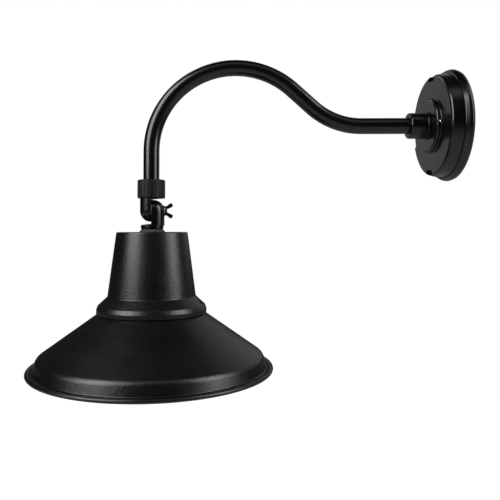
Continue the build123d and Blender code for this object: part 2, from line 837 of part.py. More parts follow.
post_turn = 90
ear_spots = [(driver_ear_x, 0), (-driver_ear_x, 0)]
with BuildPart() as heat_spreader:
    with BuildSketch(lamp_level(plate_z)):
        Circle(spreader_r)
        with PolarLocations(mount_post_circle, mount_post_count, start_angle=post_turn):
            Circle(m4_r + hole_gap, mode=Mode.SUBTRACT)
        with PolarLocations(board_screw_circle, board_screw_count, start_angle=post_turn):
            Circle(m3_r + thread_gap, mode=Mode.SUBTRACT)
        with PolarLocations(lens_screw_circle, lens_screw_count, start_angle=-post_turn):
            Circle(lens_screw_r + thread_gap, mode=Mode.SUBTRACT)
        with Locations(*ear_spots):
            Circle(m3_r + thread_gap, mode=Mode.SUBTRACT)
    extrude(amount=spreader_t)
save(heat_spreader.part, "heat_spreader")


def ring_of_screws(z, circle, count, start, shank_r, length, head_r, head_h):
    """Screws on a circle about the lamp's axis, heads down."""
    screws = []
    for i in range(count):
        turn = radians(start + 360 * i / count)
        spot = (circle * cos(turn), circle * sin(turn) - lamp_reach, z)
        screws.append(screw(Plane(spot, z_dir=(0, 0, -1)), shank_r, length, head_r, head_h))
    return Compound(screws)


save(
    ring_of_screws(plate_z, mount_post_circle, mount_post_count, post_turn,
                   m4_r, m4_length, m4_head_r, m4_head_h),
    "spreader_screws",
)

driver_z = plate_z + spreader_t
with BuildPart() as driver:
    with BuildSketch(lamp_level(driver_z)):
        Circle(driver_r)
    extrude(amount=driver_h)
    fillet(driver.faces().sort_by(Axis.Z)[-1].edges(), driver_round)
    with BuildSketch(lamp_level(driver_z)):
        SlotCenterToCenter(2 * driver_ear_x, 2 * driver_ear_r)
    extrude(amount=driver_ear_t)
    with BuildSketch(lamp_level(driver_z)):
        with Locations(*ear_spots):
            Circle(m3_r + hole_gap)
    extrude(amount=driver_ear_t, mode=Mode.SUBTRACT)
save(driver.part, "driver")

driver_screws = []
for x, y in ear_spots:
    top = Plane((x, y - lamp_reach, driver_z + driver_ear_t))
    driver_screws.append(screw(top, m3_r, driver_ear_t + spreader_t, m3_head_r, m3_head_h))
save(Compound(driver_screws), "driver_screws")

board_z = plate_z - board_t
with BuildPart() as led_board:
    with BuildSketch(lamp_level(board_z)):
        Circle(board_r)
        with PolarLocations(board_screw_circle, board_screw_count, start_angle=post_turn):
            Circle(m3_r + hole_gap, mode=Mode.SUBTRACT)
    extrude(amount=board_t)
save(led_board.part, "led_board")

with BuildPart() as led_chips:
    with BuildSketch(lamp_level(board_z - chip_t)):
        for ring, chip_count in enumerate(chip_counts):
            with PolarLocations(ring * chip_pitch, chip_count):
                Rectangle(chip_size, chip_size)
    extrude(amount=chip_t)
save(led_chips.part, "led_chips")

save(
    ring_of_screws(board_z, board_screw_circle, board_screw_count, post_turn,
                   m3_r, board_t + spreader_t, m3_head_r, m3_head_h),
    "board_screws",
)

with BuildPart() as reflector:
    revolve(
        outline(
            lamp_section,
            [
                (reflector_top_r, plate_z),
                (reflector_top_r + reflector_t, plate_z),
                (reflector_foot_r + reflector_t, gasket_z + reflector_t),
                (lens_r, gasket_z + reflector_t),
                (lens_r, gasket_z),
                (reflector_foot_r, gasket_z),
            ],
        ),
        axis=lamp_axis,
    )
save(reflector.part, "reflector")

save(washer(lamp_level(lens_z), lens_ring_lip_r, lens_r, lens_gasket_t), "lens_gasket")

with BuildPart() as lens:
    with BuildSketch(lamp_level(lip_z)):
        Circle(lens_r)
    extrude(amount=lens_t)
save(lens.part, "lens")

with BuildPart() as lens_ring:
    revolve(
        outline(
            lamp_section,
            [
                (lens_ring_lip_r, lens_ring_z),
                (lens_ring_r, lens_ring_z),
                (lens_ring_r, plate_z),
                (lens_ring_wall_r, plate_z),
                (lens_ring_wall_r, lip_z),
                (lens_ring_lip_r, lip_z),
            ],
        ),
        axis=lamp_axis,
    )
    with BuildSketch(lamp_level(lens_ring_z)):
        with PolarLocations(lens_screw_circle, lens_screw_count, start_angle=-post_turn):
            Circle(lens_screw_r + hole_gap)
    extrude(amount=plate_z - lens_ring_z, mode=Mode.SUBTRACT)
    with BuildSketch(lamp_level(lens_ring_z)):
        with PolarLocations(lens_screw_circle, lens_screw_count, start_angle=-post_turn):
            Circle(lens_screw_head_r + turn_gap)
    extrude(amount=lens_screw_head_h, mode=Mode.SUBTRACT)
save(lens_ring.part, "lens_ring")

save(
    ring_of_screws(lens_ring_z + lens_screw_head_h, lens_screw_circle, lens_screw_count, -post_turn,
                   lens_screw_r, lens_screw_length, lens_screw_head_r, lens_screw_head_h),
    "lens_ring_screws",
)

# ---------------------------------------------------------------- shade

with BuildPart() as shade:
    with BuildSketch(lamp_section):
        with BuildLine():
            skin = FilletPolyline(
                (seat_inner_r, seat_z),
                (seat_outer_r, seat_z),
                (seat_outer_r, seat_z - cone_start_below_seat),
                (shoulder_r, rim_z + shoulder_above_rim),
                (skirt_foot_r, rim_z + skirt_foot_above_rim),
                (rim_r - bead_r, rim_z + web_end_above_rim),
                radius=[seat_round, seat_round, shoulder_round, shade_t],
            )
            offset(skin, amount=shade_t, side=Side.RIGHT)
        make_face()
        with Locations((rim_r - bead_r, rim_z)):
            Circle(bead_r)
    revolve(axis=lamp_axis)
    with BuildSketch(lamp_level(seat_z - shade_t)):
        with Locations(*shade_spots):
            Circle(m4_r + thread_gap)
    extrude(amount=shade_t, mode=Mode.SUBTRACT)
save(shade.part, "shade")

shade_screws = []
for x, y in shade_spots:
    top = Plane((x, y - lamp_reach, pocket_floor_z))
    shade_screws.append(screw(top, m4_r, shade_screw_length, shade_screw_head_r, m4_head_h))
save(Compound(shade_screws), "shade_screws")
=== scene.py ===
"""Gooseneck wall sconce, dressed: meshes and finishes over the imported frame, in metres.

The wall is the plane Y = 0, the room is on its -Y side and +Z is up. Sizes in the dataclasses are in
millimetres, and are turned into metres where the points are made. The studio's sizes are in metres.
"""

import logging
import math
from dataclasses import dataclass
from enum import Enum
from typing import Callable, Optional, Sequence, Union

import bmesh
import bpy
from mathutils import Matrix, Vector


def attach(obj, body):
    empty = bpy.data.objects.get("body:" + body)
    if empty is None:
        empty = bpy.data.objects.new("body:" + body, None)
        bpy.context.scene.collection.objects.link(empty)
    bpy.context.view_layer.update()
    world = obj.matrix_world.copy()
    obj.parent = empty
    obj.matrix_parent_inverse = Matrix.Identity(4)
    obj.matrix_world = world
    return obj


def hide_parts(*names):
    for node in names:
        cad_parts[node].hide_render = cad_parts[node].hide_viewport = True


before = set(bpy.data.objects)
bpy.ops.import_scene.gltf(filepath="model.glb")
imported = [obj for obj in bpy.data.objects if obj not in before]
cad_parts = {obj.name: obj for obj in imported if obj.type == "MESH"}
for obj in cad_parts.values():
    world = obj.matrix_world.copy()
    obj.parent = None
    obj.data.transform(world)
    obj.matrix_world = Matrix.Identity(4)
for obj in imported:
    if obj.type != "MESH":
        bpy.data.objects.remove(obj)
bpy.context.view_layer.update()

LOG = logging.getLogger("sconce")
MM = 0.001

Point2 = tuple[float, float]
Point3 = tuple[float, float, float]
Corner = tuple[float, float, float]  # radius, height and rounding
Loop = list[Vector]


class Body(Enum):
    """Bodies of the frame that the pieces ride on."""

    WALL_ARM = "wall_arm"
    COLLAR = "collar"
    KNUCKLE = "knuckle"
    HEAD = "head"
    WING = "wing"


class Slot(Enum):
    """Material slots of the record."""

    SATIN_BLACK = "satin_black"
    TEXTURED_BLACK = "textured_black"
    COLLAR_BLACK = "collar_black"
    BLACK_SCREW = "black_screw"
    GREEN_SCREW = "green_screw"
    NICKEL = "nickel"
    ZINC_STEEL = "zinc_steel"
    BARE_ALUMINIUM = "bare_aluminium"
    BLACK_RUBBER = "black_rubber"
    BLACK_PLASTIC = "black_plastic"
    FIBRE_WASHER = "fibre_washer"
    LEAD_JACKET = "lead_jacket"
    WHITE_PLASTIC = "white_plastic"
    WHITE_BOARD = "white_board"
    YELLOW_PHOSPHOR = "yellow_phosphor"
    WHITE_REFLECTOR = "white_reflector"
    CLEAR_SILICONE = "clear_silicone"
    FROSTED_LENS = "frosted_lens"


class KnuckleSide(Enum):
    """The two halves of the knuckle: the one under the collar and the one on the lamp."""

    UPPER = "upper"
    LOWER = "lower"


# ---------------------------------------------------------------- axes and outlines


@dataclass(frozen=True)
class TurnFrame:
    """An axis with its two cross directions.

    Args:
        origin: A point on the axis, in millimetres.
        radial: Direction of angle 0.
        side: Direction of angle 90.
        axial: Direction of height.
    """

    origin: Point3
    radial: Point3
    side: Point3
    axial: Point3

    def point(self, radius: float, height: float, angle: float) -> Vector:
        """Point on the surface about the axis.

        Args:
            radius: Distance from the axis, in millimetres.
            height: Distance along the axis, in millimetres.
            angle: Angle from the radial direction, in radians.

        Returns:
            The point, in metres.
        """
        across = Vector(self.radial) * math.cos(angle) + Vector(self.side) * math.sin(angle)
        return (Vector(self.origin) + across * radius + Vector(self.axial) * height) * MM


def upright_axis(x: float, y: float) -> TurnFrame:
    """Axis along +Z through X and Y."""
    return TurnFrame((x, y, 0), (1, 0, 0), (0, 1, 0), (0, 0, 1))


def wall_axis(x: float, z: float) -> TurnFrame:
    """Axis along +Y, square to the wall, through X and Z."""
    return TurnFrame((x, 0, z), (1, 0, 0), (0, 0, 1), (0, 1, 0))


def side_axis(y: float, z: float) -> TurnFrame:
    """Axis along +X, level with the wall, through Y and Z."""
    return TurnFrame((0, y, z), (0, 1, 0), (0, 0, 1), (1, 0, 0))


REACH = 386.3
LAMP_Y = -385.0
PIVOT_Z = -109.0
LIMB_AXIS = upright_axis(0, -REACH)
LAMP_AXIS = upright_axis(0, LAMP_Y)
MOUNT_AXIS = wall_axis(0, 0)
PIVOT_AXIS = wall_axis(0, PIVOT_Z)

EDGE_SHARE = 0.48       # most of an edge that the arc at one of its ends may take
SUPPORT_MM = 0.12       # farthest that a support point stands from its arc
SUPPORT_OF_ARC = 0.2    # the same, as a share of the arc's reach
SUPPORT_OF_EDGE = 0.02  # the same, as a share of the shorter edge


def turns(count: int) -> list[float]:
    """Angles that divide a full turn evenly."""
    return [2 * math.pi * k / count for k in range(count)]


def on_circle(radius: float, degrees: float, centre: Point2 = (0, 0)) -> Point2:
    """Place on a circle, from the first direction towards the second."""
    turn = math.radians(degrees)
    return centre[0] + radius * math.cos(turn), centre[1] + radius * math.sin(turn)


def rounded(corners: Sequence[Corner], closed: bool = True, steps: int = 6) -> list[Point2]:
    """Profile whose corners are turned into arcs, with a support point beside each arc.

    Args:
        corners: Radius, height and rounding of each corner.
        closed: Whether the last corner joins the first.
        steps: Segments of each arc.

    Returns:
        The profile's points.
    """
    profile: list[Point2] = []
    count = len(corners)
    for i, (r, h, rounding) in enumerate(corners):
        here = Vector((r, h))
        if rounding <= 0 or (not closed and i in (0, count - 1)):
            profile.append((r, h))
            continue
        before = Vector(corners[i - 1][:2]) - here
        after = Vector(corners[(i + 1) % count][:2]) - here
        room = min(before.length, after.length)
        before.normalize()
        after.normalize()
        half = before.angle(after) / 2
        reach = min(rounding / math.tan(half), room * EDGE_SHARE)
        radius = reach * math.tan(half)
        centre = here + (before + after).normalized() * (radius / math.sin(half))
        start = here + before * reach
        end = here + after * reach
        support = min(SUPPORT_MM, reach * SUPPORT_OF_ARC, room * SUPPORT_OF_EDGE)
        first = start - centre
        sweep = first.angle_signed(end - centre)
        profile.append(tuple(start + before * support))
        for k in range(steps + 1):
            spoke = Matrix.Rotation(-sweep * k / steps, 2) @ first
            profile.append(tuple(centre + spoke))
        profile.append(tuple(end + after * support))
    return profile


# ---------------------------------------------------------------- mesh making


class MeshDraft:
    """Points and faces of one piece, gathered before the object is made."""

    merge_distance = 1e-6
    degenerate_length = 1e-7

    def __init__(self) -> None:
        """Start empty."""
        self.points: Loop = []
        self.faces: list[tuple[int, ...]] = []

    def add(self, points: Sequence[Vector], faces: Sequence[tuple[int, ...]]) -> None:
        """Append points and the faces between them.

        Args:
            points: New points, in metres.
            faces: Faces that count from the first new point.
        """
        base = len(self.points)
        self.points.extend(points)
        self.faces.extend(tuple(base + i for i in face) for face in faces)

    def skin(self, loops: Sequence[Loop], closed: bool = False, caps: bool = True) -> None:
        """Skin between loops of equal length.

        Args:
            loops: Rings of points.
            closed: Whether the last loop joins the first.
            caps: Whether the end loops are filled.
        """
        size = len(loops[0])
        faces: list[tuple[int, ...]] = []
        spans = len(loops) if closed else len(loops) - 1
        for i in range(spans):
            a, b = i * size, ((i + 1) % len(loops)) * size
            for j in range(size):
                k = (j + 1) % size
                faces.append((a + j, a + k, b + k, b + j))
        if caps and not closed:
            faces.append(tuple(range(size - 1, -1, -1)))
            faces.append(tuple((len(loops) - 1) * size + j for j in range(size)))
        self.add([p for loop in loops for p in loop], faces)

    def lathe(
        self,
        profile: Sequence[Point2],
        axis: TurnFrame,
        segments: int,
        closed: bool = True,
        radius_at: Optional[Callable[[float, float], float]] = None,
    ) -> None:
        """Turn a profile about an axis.

        Args:
            profile: Radius and height of each point, in millimetres.
            axis: Axis of the turning.
            segments: Steps round the axis.
            closed: Whether the profile's last point joins its first.
            radius_at: Changes a radius from the radius and the angle.
        """
        count = len(profile)
        points = [
            axis.point(radius_at(r, angle) if radius_at else r, h, angle)
            for angle in turns(segments)
            for r, h in profile
        ]
        faces: list[tuple[int, ...]] = []
        for i in range(count if closed else count - 1):
            j = (i + 1) % count
            for s in range(segments):
                t = (s + 1) % segments
                faces.append((s * count + i, s * count + j, t * count + j, t * count + i))
        self.add(points, faces)

    def build(self, name: str, sharp_degrees: float = 32.0) -> bpy.types.Object:
        """Make the object, with smooth shading and sharp edges by angle.

        Args:
            name: Name of the piece.
            sharp_degrees: Edges that bend more than this stay sharp.

        Returns:
            The new object, linked to the scene.
        """
        mesh = bpy.data.meshes.new(name)
        mesh.from_pydata([tuple(p) for p in self.points], [], self.faces)
        piece = bpy.data.objects.new(name, mesh)
        bpy.context.scene.collection.objects.link(piece)
        self._clean(mesh)
        shade(mesh, sharp_degrees)
        return piece

    def _clean(self, mesh: bpy.types.Mesh) -> None:
        """Merge the points that coincide and turn every face outwards.

        Args:
            mesh: Mesh that is cleaned in place.
        """
        work = bmesh.new()
        work.from_mesh(mesh)
        bmesh.ops.remove_doubles(work, verts=work.verts, dist=self.merge_distance)
        bmesh.ops.dissolve_degenerate(work, edges=work.edges, dist=self.degenerate_length)
        bmesh.ops.recalc_face_normals(work, faces=work.faces)
        work.to_mesh(mesh)
        work.free()


def turned(
    name: str, profile: Sequence[Point2], axis: TurnFrame, segments: int, closed: bool = True
) -> bpy.types.Object:
    """Object made by one turning.

    Args:
        name: Name of the piece.
        profile: Radius and height of each point, in millimetres.
        axis: Axis of the turning.
        segments: Steps round the axis.
        closed: Whether the profile's last point joins its first.

    Returns:
        The new object.
    """
    draft = MeshDraft()
    draft.lathe(profile, axis, segments, closed)
    return draft.build(name)


def shade(mesh: bpy.types.Mesh, sharp_degrees: float) -> None:
    """Smooth shading with sharp edges where the surface bends by more than the angle.

    Args:
        mesh: Mesh that is shaded.
        sharp_degrees: Edges that bend more than this stay sharp.
    """
    mesh.polygons.foreach_set("use_smooth", [True] * len(mesh.polygons))
    mesh.set_sharp_from_angle(angle=math.radians(sharp_degrees))
    mesh.update()


def carve(piece: bpy.types.Object, cutters: Sequence[bpy.types.Object], sharp_degrees: float = 32.0) -> None:
    """Cut the cutters out of the piece and remove them.

    Args:
        piece: Object that is cut.
        cutters: Closed objects.
        sharp_degrees: Edges that bend more than this stay sharp.
    """
    for cutter in cutters:
        cut = piece.modifiers.new("cut", "BOOLEAN")
        cut.operation = "DIFFERENCE"
        cut.solver = "EXACT"
        cut.object = cutter
    graph = bpy.context.evaluated_depsgraph_get()
    carved = bpy.data.meshes.new_from_object(piece.evaluated_get(graph))
    piece.modifiers.clear()
    piece.data = carved
    for cutter in cutters:
        bpy.data.objects.remove(cutter)
    shade(carved, sharp_degrees)


# ---------------------------------------------------------------- shared shader effects


class GroupDraft:
    """A shader node group while it is being wired."""

    def __init__(self, name: str, inputs: dict[str, float], outputs: dict[str, str]) -> None:
        """Start a group with float inputs.

        Args:
            name: Name of the group.
            inputs: Default of each input.
            outputs: Socket type of each output.
        """
        self.tree = bpy.data.node_groups.new(name, "ShaderNodeTree")
        for label, default in inputs.items():
            socket = self.tree.interface.new_socket(label, in_out="INPUT", socket_type="NodeSocketFloat")
            socket.default_value = default
        for label, kind in outputs.items():
            self.tree.interface.new_socket(label, in_out="OUTPUT", socket_type=kind)
        self.enter = self.node("NodeGroupInput")
        self.leave = self.node("NodeGroupOutput")
        self.place = self.node("ShaderNodeTexCoord").outputs["Object"]

    def node(self, kind: str, **values: float) -> bpy.types.Node:
        """New node with some of its inputs set.

        Args:
            kind: Type of the node.
            **values: Values of the inputs, with _ for a space.

        Returns:
            The node.
        """
        node = self.tree.nodes.new(kind)
        for key, value in values.items():
            node.inputs[key.replace("_", " ").title()].default_value = value
        return node

    def link(self, source: bpy.types.NodeSocket, target: bpy.types.NodeSocket) -> None:
        """Join an output to an input."""
        self.tree.links.new(source, target)

    def texture(self, kind: str, **values: float) -> bpy.types.Node:
        """New texture node that reads the object's own coordinates.

        Args:
            kind: Type of the node.
            **values: Values of the inputs, with _ for a space.

        Returns:
            The node.
        """
        node = self.node(kind, **values)
        self.link(self.place, node.inputs["Vector"])
        return node

    def spread(
        self, value: bpy.types.NodeSocket, low: str, high: str, span: Point2 = (0.3, 0.7)
    ) -> bpy.types.NodeSocket:
        """Stretch a pattern between two inputs of the group.

        Args:
            value: The pattern.
            low: Input that the pattern's low end gives.
            high: Input that its high end gives.
            span: The pattern's low and high end.

        Returns:
            The stretched value.
        """
        node = self.node("ShaderNodeMapRange", from_min=span[0], from_max=span[1])
        self.link(value, node.inputs["Value"])
        self.link(self.enter.outputs[low], node.inputs["To Min"])
        self.link(self.enter.outputs[high], node.inputs["To Max"])
        return node.outputs["Result"]


class NodeGroups:
    """Shader node groups shared by the finishes, each built once."""

    pit_depth = -0.6        # how deep the rounded pits are against the noise on them
    tool_mark_stretch = (0.12, 0.12, 1.0)

    _made: dict[str, bpy.types.ShaderNodeTree] = {}

    @classmethod
    def powder_coat(cls) -> bpy.types.ShaderNodeTree:
        """Powder coat: grain height, roughness and a tone that varies a little.

        Returns:
            The group.
        """
        if "PowderCoat" in cls._made:
            return cls._made["PowderCoat"]
        group = GroupDraft(
            "PowderCoat",
            {"Dark": 0.01, "Light": 0.02, "Grain Size": 0.6, "Rough Low": 0.3, "Rough High": 0.4},
            {"Color": "NodeSocketColor", "Roughness": "NodeSocketFloat", "Height": "NodeSocketFloat"},
        )
        per_metre = group.node("ShaderNodeMath")
        per_metre.operation = "DIVIDE"
        per_metre.inputs[0].default_value = 1 / MM
        group.link(group.enter.outputs["Grain Size"], per_metre.inputs[1])
        grain = group.texture("ShaderNodeTexNoise", detail=3.0, roughness=0.62)
        pits = group.texture("ShaderNodeTexVoronoi")
        pits.feature = "SMOOTH_F1"
        for texture in (grain, pits):
            group.link(per_metre.outputs[0], texture.inputs["Scale"])
        height = group.node("ShaderNodeMath")
        height.operation = "MULTIPLY_ADD"
        height.inputs[1].default_value = cls.pit_depth
        group.link(pits.outputs["Distance"], height.inputs[0])
        group.link(grain.outputs["Fac"], height.inputs[2])
        group.link(height.outputs[0], group.leave.inputs["Height"])
        cloud = group.texture("ShaderNodeTexNoise", scale=28.0, detail=4.0)
        rough = group.spread(cloud.outputs["Fac"], "Rough Low", "Rough High")
        group.link(rough, group.leave.inputs["Roughness"])
        tone = group.spread(grain.outputs["Fac"], "Dark", "Light", (0.32, 0.72))
        grey = group.node("ShaderNodeCombineColor")
        for channel in ("Red", "Green", "Blue"):
            group.link(tone, grey.inputs[channel])
        group.link(grey.outputs["Color"], group.leave.inputs["Color"])
        cls._made["PowderCoat"] = group.tree
        return group.tree

    @classmethod
    def turned_metal(cls) -> bpy.types.ShaderNodeTree:
        """Fine marks of the turning tool, as a roughness and a height.

        Returns:
            The group.
        """
        if "TurnedMetal" in cls._made:
            return cls._made["TurnedMetal"]
        group = GroupDraft(
            "TurnedMetal",
            {"Scale": 900.0, "Rough Low": 0.2, "Rough High": 0.4},
            {"Roughness": "NodeSocketFloat", "Height": "NodeSocketFloat"},
        )
        stretch = group.texture("ShaderNodeMapping", scale=cls.tool_mark_stretch)
        marks = group.node("ShaderNodeTexNoise", detail=5.0)
        group.link(stretch.outputs["Vector"], marks.inputs["Vector"])
        group.link(group.enter.outputs["Scale"], marks.inputs["Scale"])
        group.link(marks.outputs["Fac"], group.leave.inputs["Height"])
        rough = group.spread(marks.outputs["Fac"], "Rough Low", "Rough High", (0.0, 1.0))
        group.link(rough, group.leave.inputs["Roughness"])
        cls._made["TurnedMetal"] = group.tree
        return group.tree

    @classmethod
    def moulded(cls) -> bpy.types.ShaderNodeTree:
        """Moulded skin: a soft mottle in tone, roughness and height.

        Returns:
            The group.
        """
        if "Moulded" in cls._made:
            return cls._made["Moulded"]
        group = GroupDraft(
            "Moulded",
            {"Scale": 700.0, "Rough Low": 0.5, "Rough High": 0.7, "Low": 0.9, "High": 1.0},
            {"Tone": "NodeSocketFloat", "Roughness": "NodeSocketFloat", "Height": "NodeSocketFloat"},
        )
        mottle = group.texture("ShaderNodeTexNoise", detail=6.0)
        group.link(group.enter.outputs["Scale"], mottle.inputs["Scale"])
        group.link(mottle.outputs["Fac"], group.leave.inputs["Height"])
        for label, low, high in (("Roughness", "Rough Low", "Rough High"), ("Tone", "Low", "High")):
            group.link(group.spread(mottle.outputs["Fac"], low, high), group.leave.inputs[label])
        cls._made["Moulded"] = group.tree
        return group.tree


# ---------------------------------------------------------------- finishes


def new_material(name: str) -> tuple[bpy.types.Material, bpy.types.Node]:
    """Material with a Principled shader.

    Args:
        name: Name of the material.

    Returns:
        The material and its shader node.
    """
    material = bpy.data.materials.new(name)
    material.use_nodes = True
    return material, material.node_tree.nodes["Principled BSDF"]


def add_group(
    material: bpy.types.Material, tree: bpy.types.ShaderNodeTree, rough: Point2, **values: float
) -> bpy.types.Node:
    """Group node in a material with its inputs set.

    Args:
        material: Material that gets the node.
        tree: The group.
        rough: Lowest and highest roughness.
        **values: Values of the other inputs, with _ for a space.

    Returns:
        The group node.
    """
    node = material.node_tree.nodes.new("ShaderNodeGroup")
    node.node_tree = tree
    for key, value in (*values.items(), ("rough_low", rough[0]), ("rough_high", rough[1])):
        node.inputs[key.replace("_", " ").title()].default_value = value
    return node


def add_bump(
    material: bpy.types.Material,
    shader: bpy.types.Node,
    height: bpy.types.NodeSocket,
    strength: float,
    depth_mm: float,
) -> None:
    """Bump node between a height and the shader.

    Args:
        material: Material that gets the node.
        shader: Its shader.
        height: Output that holds the height.
        strength: Strength of the bump.
        depth_mm: Depth of the bump.
    """
    bump = material.node_tree.nodes.new("ShaderNodeBump")
    bump.inputs["Strength"].default_value = strength
    bump.inputs["Distance"].default_value = depth_mm * MM
    material.node_tree.links.new(height, bump.inputs["Height"])
    material.node_tree.links.new(bump.outputs["Normal"], shader.inputs["Normal"])


@dataclass(frozen=True)
class PowderCoat:
    """Black powder coat.

    Args:
        name: Name of the material.
        dark: Linear tone of the hollows.
        light: Linear tone of the grains.
        grain_mm: Size of a grain.
        rough: Lowest and highest roughness.
        strength: Strength of the bump.
        depth_mm: Depth of the bump.
        sheen: Level of the reflection, 0.5 for a plain clear resin.
    """

    name: str
    dark: float
    light: float
    grain_mm: float
    rough: Point2
    strength: float
    depth_mm: float
    sheen: float = 0.5

    def build(self) -> bpy.types.Material:
        """Make the material.

        Returns:
            The material.
        """
        material, shader = new_material(self.name)
        tones = {"dark": self.dark, "light": self.light, "grain_size": self.grain_mm}
        coat = add_group(material, NodeGroups.powder_coat(), self.rough, **tones)
        link = material.node_tree.links.new
        link(coat.outputs["Color"], shader.inputs["Base Color"])
        link(coat.outputs["Roughness"], shader.inputs["Roughness"])
        shader.inputs["Specular IOR Level"].default_value = self.sheen
        add_bump(material, shader, coat.outputs["Height"], self.strength, self.depth_mm)
        return material


@dataclass(frozen=True)
class Metal:
    """Bare or plated metal.

    Args:
        name: Name of the material.
        color: Linear colour.
        rough: Lowest and highest roughness.
        strength: Strength of the bump.
        depth_mm: Depth of the bump.
    """

    name: str
    color: Point3
    rough: Point2
    strength: float = 0.15
    depth_mm: float = 0.02

    def build(self) -> bpy.types.Material:
        """Make the material.

        Returns:
            The material.
        """
        material, shader = new_material(self.name)
        shader.inputs["Base Color"].default_value = (*self.color, 1.0)
        shader.inputs["Metallic"].default_value = 1.0
        marks = add_group(material, NodeGroups.turned_metal(), self.rough)
        material.node_tree.links.new(marks.outputs["Roughness"], shader.inputs["Roughness"])
        add_bump(material, shader, marks.outputs["Height"], self.strength, self.depth_mm)
        return material


@dataclass(frozen=True)
class Moulded:
    """Moulded plastic, rubber, board, enamel or cloth.

    Args:
        name: Name of the material.
        color: Linear colour.
        rough: Lowest and highest roughness.
        scale: Grains per metre.
        strength: Strength of the bump.
        depth_mm: Depth of the bump.
        mottle: Lowest share of the tone.
        shadow: Share of the colour that a tone of 0 would have.
    """

    name: str
    color: Point3
    rough: Point2
    scale: float = 700.0
    strength: float = 0.2
    depth_mm: float = 0.05
    mottle: float = 0.86
    shadow: float = 0.4

    def build(self) -> bpy.types.Material:
        """Make the material.

        Returns:
            The material.
        """
        material, shader = new_material(self.name)
        skin = add_group(material, NodeGroups.moulded(), self.rough, scale=self.scale, low=self.mottle)
        nodes, link = material.node_tree.nodes, material.node_tree.links.new
        tint = nodes.new("ShaderNodeMix")
        tint.data_type = "RGBA"
        tint.inputs["A"].default_value = (*[c * self.shadow for c in self.color], 1.0)
        tint.inputs["B"].default_value = (*self.color, 1.0)
        link(skin.outputs["Tone"], tint.inputs["Factor"])
        link(tint.outputs["Result"], shader.inputs["Base Color"])
        link(skin.outputs["Roughness"], shader.inputs["Roughness"])
        add_bump(material, shader, skin.outputs["Height"], self.strength, self.depth_mm)
        return material


@dataclass(frozen=True)
class FrostedGlass:
    """Frosted lens that lets the reflector and the board show dimly.

    Args:
        name: Name of the material.
        color: Linear colour.
        rough: Lowest and highest roughness.
        clearness: Share of the light that passes through.
        refraction: Index of refraction.
        scale: Grains per metre.
        strength: Strength of the bump.
        depth_mm: Depth of the bump.
    """

    name: str
    color: Point3
    rough: Point2
    clearness: float = 0.8
    refraction: float = 1.49
    scale: float = 1400.0
    strength: float = 0.3
    depth_mm: float = 0.05

    def build(self) -> bpy.types.Material:
        """Make the material.

        Returns:
            The material.
        """
        material, shader = new_material(self.name)
        skin = add_group(material, NodeGroups.moulded(), self.rough, scale=self.scale)
        shader.inputs["Base Color"].default_value = (*self.color, 1.0)
        shader.inputs["Transmission Weight"].default_value = self.clearness
        shader.inputs["IOR"].default_value = self.refraction
        material.node_tree.links.new(skin.outputs["Roughness"], shader.inputs["Roughness"])
        add_bump(material, shader, skin.outputs["Height"], self.strength, self.depth_mm)
        return material


@dataclass(frozen=True)
class PaleFloor:
    """Pale floor that fades to white for the camera.

    Args:
        name: Name of the material.
        color: Linear colour.
        rough: Lowest and highest roughness.
        scale: Grains per metre.
        fade: Share of white that the camera sees.
        white_level: Strength of that white.
    """

    name: str = "pale_floor"
    color: Point3 = (0.86, 0.86, 0.86)
    rough: Point2 = (0.7, 0.85)
    scale: float = 60.0
    fade: float = 0.9
    white_level: float = 1.08

    def build(self) -> bpy.types.Material:
        """Make the material.

        Returns:
            The material.
        """
        material, shader = new_material(self.name)
        skin = add_group(material, NodeGroups.moulded(), self.rough, scale=self.scale)
        nodes, link = material.node_tree.nodes, material.node_tree.links.new
        shader.inputs["Base Color"].default_value = (*self.color, 1.0)
        link(skin.outputs["Roughness"], shader.inputs["Roughness"])
        white = nodes.new("ShaderNodeEmission")
        white.inputs["Strength"].default_value = self.white_level
        ray = nodes.new("ShaderNodeLightPath")
        fade = nodes.new("ShaderNodeMath")
        fade.operation = "MULTIPLY"
        fade.inputs[1].default_value = self.fade
        link(ray.outputs["Is Camera Ray"], fade.inputs[0])
        mix = nodes.new("ShaderNodeMixShader")
        link(fade.outputs[0], mix.inputs["Fac"])
        link(shader.outputs["BSDF"], mix.inputs[1])
        link(white.outputs["Emission"], mix.inputs[2])
        link(mix.outputs["Shader"], nodes["Material Output"].inputs["Surface"])
        return material


Finish = Union[PowderCoat, Metal, Moulded, FrostedGlass]

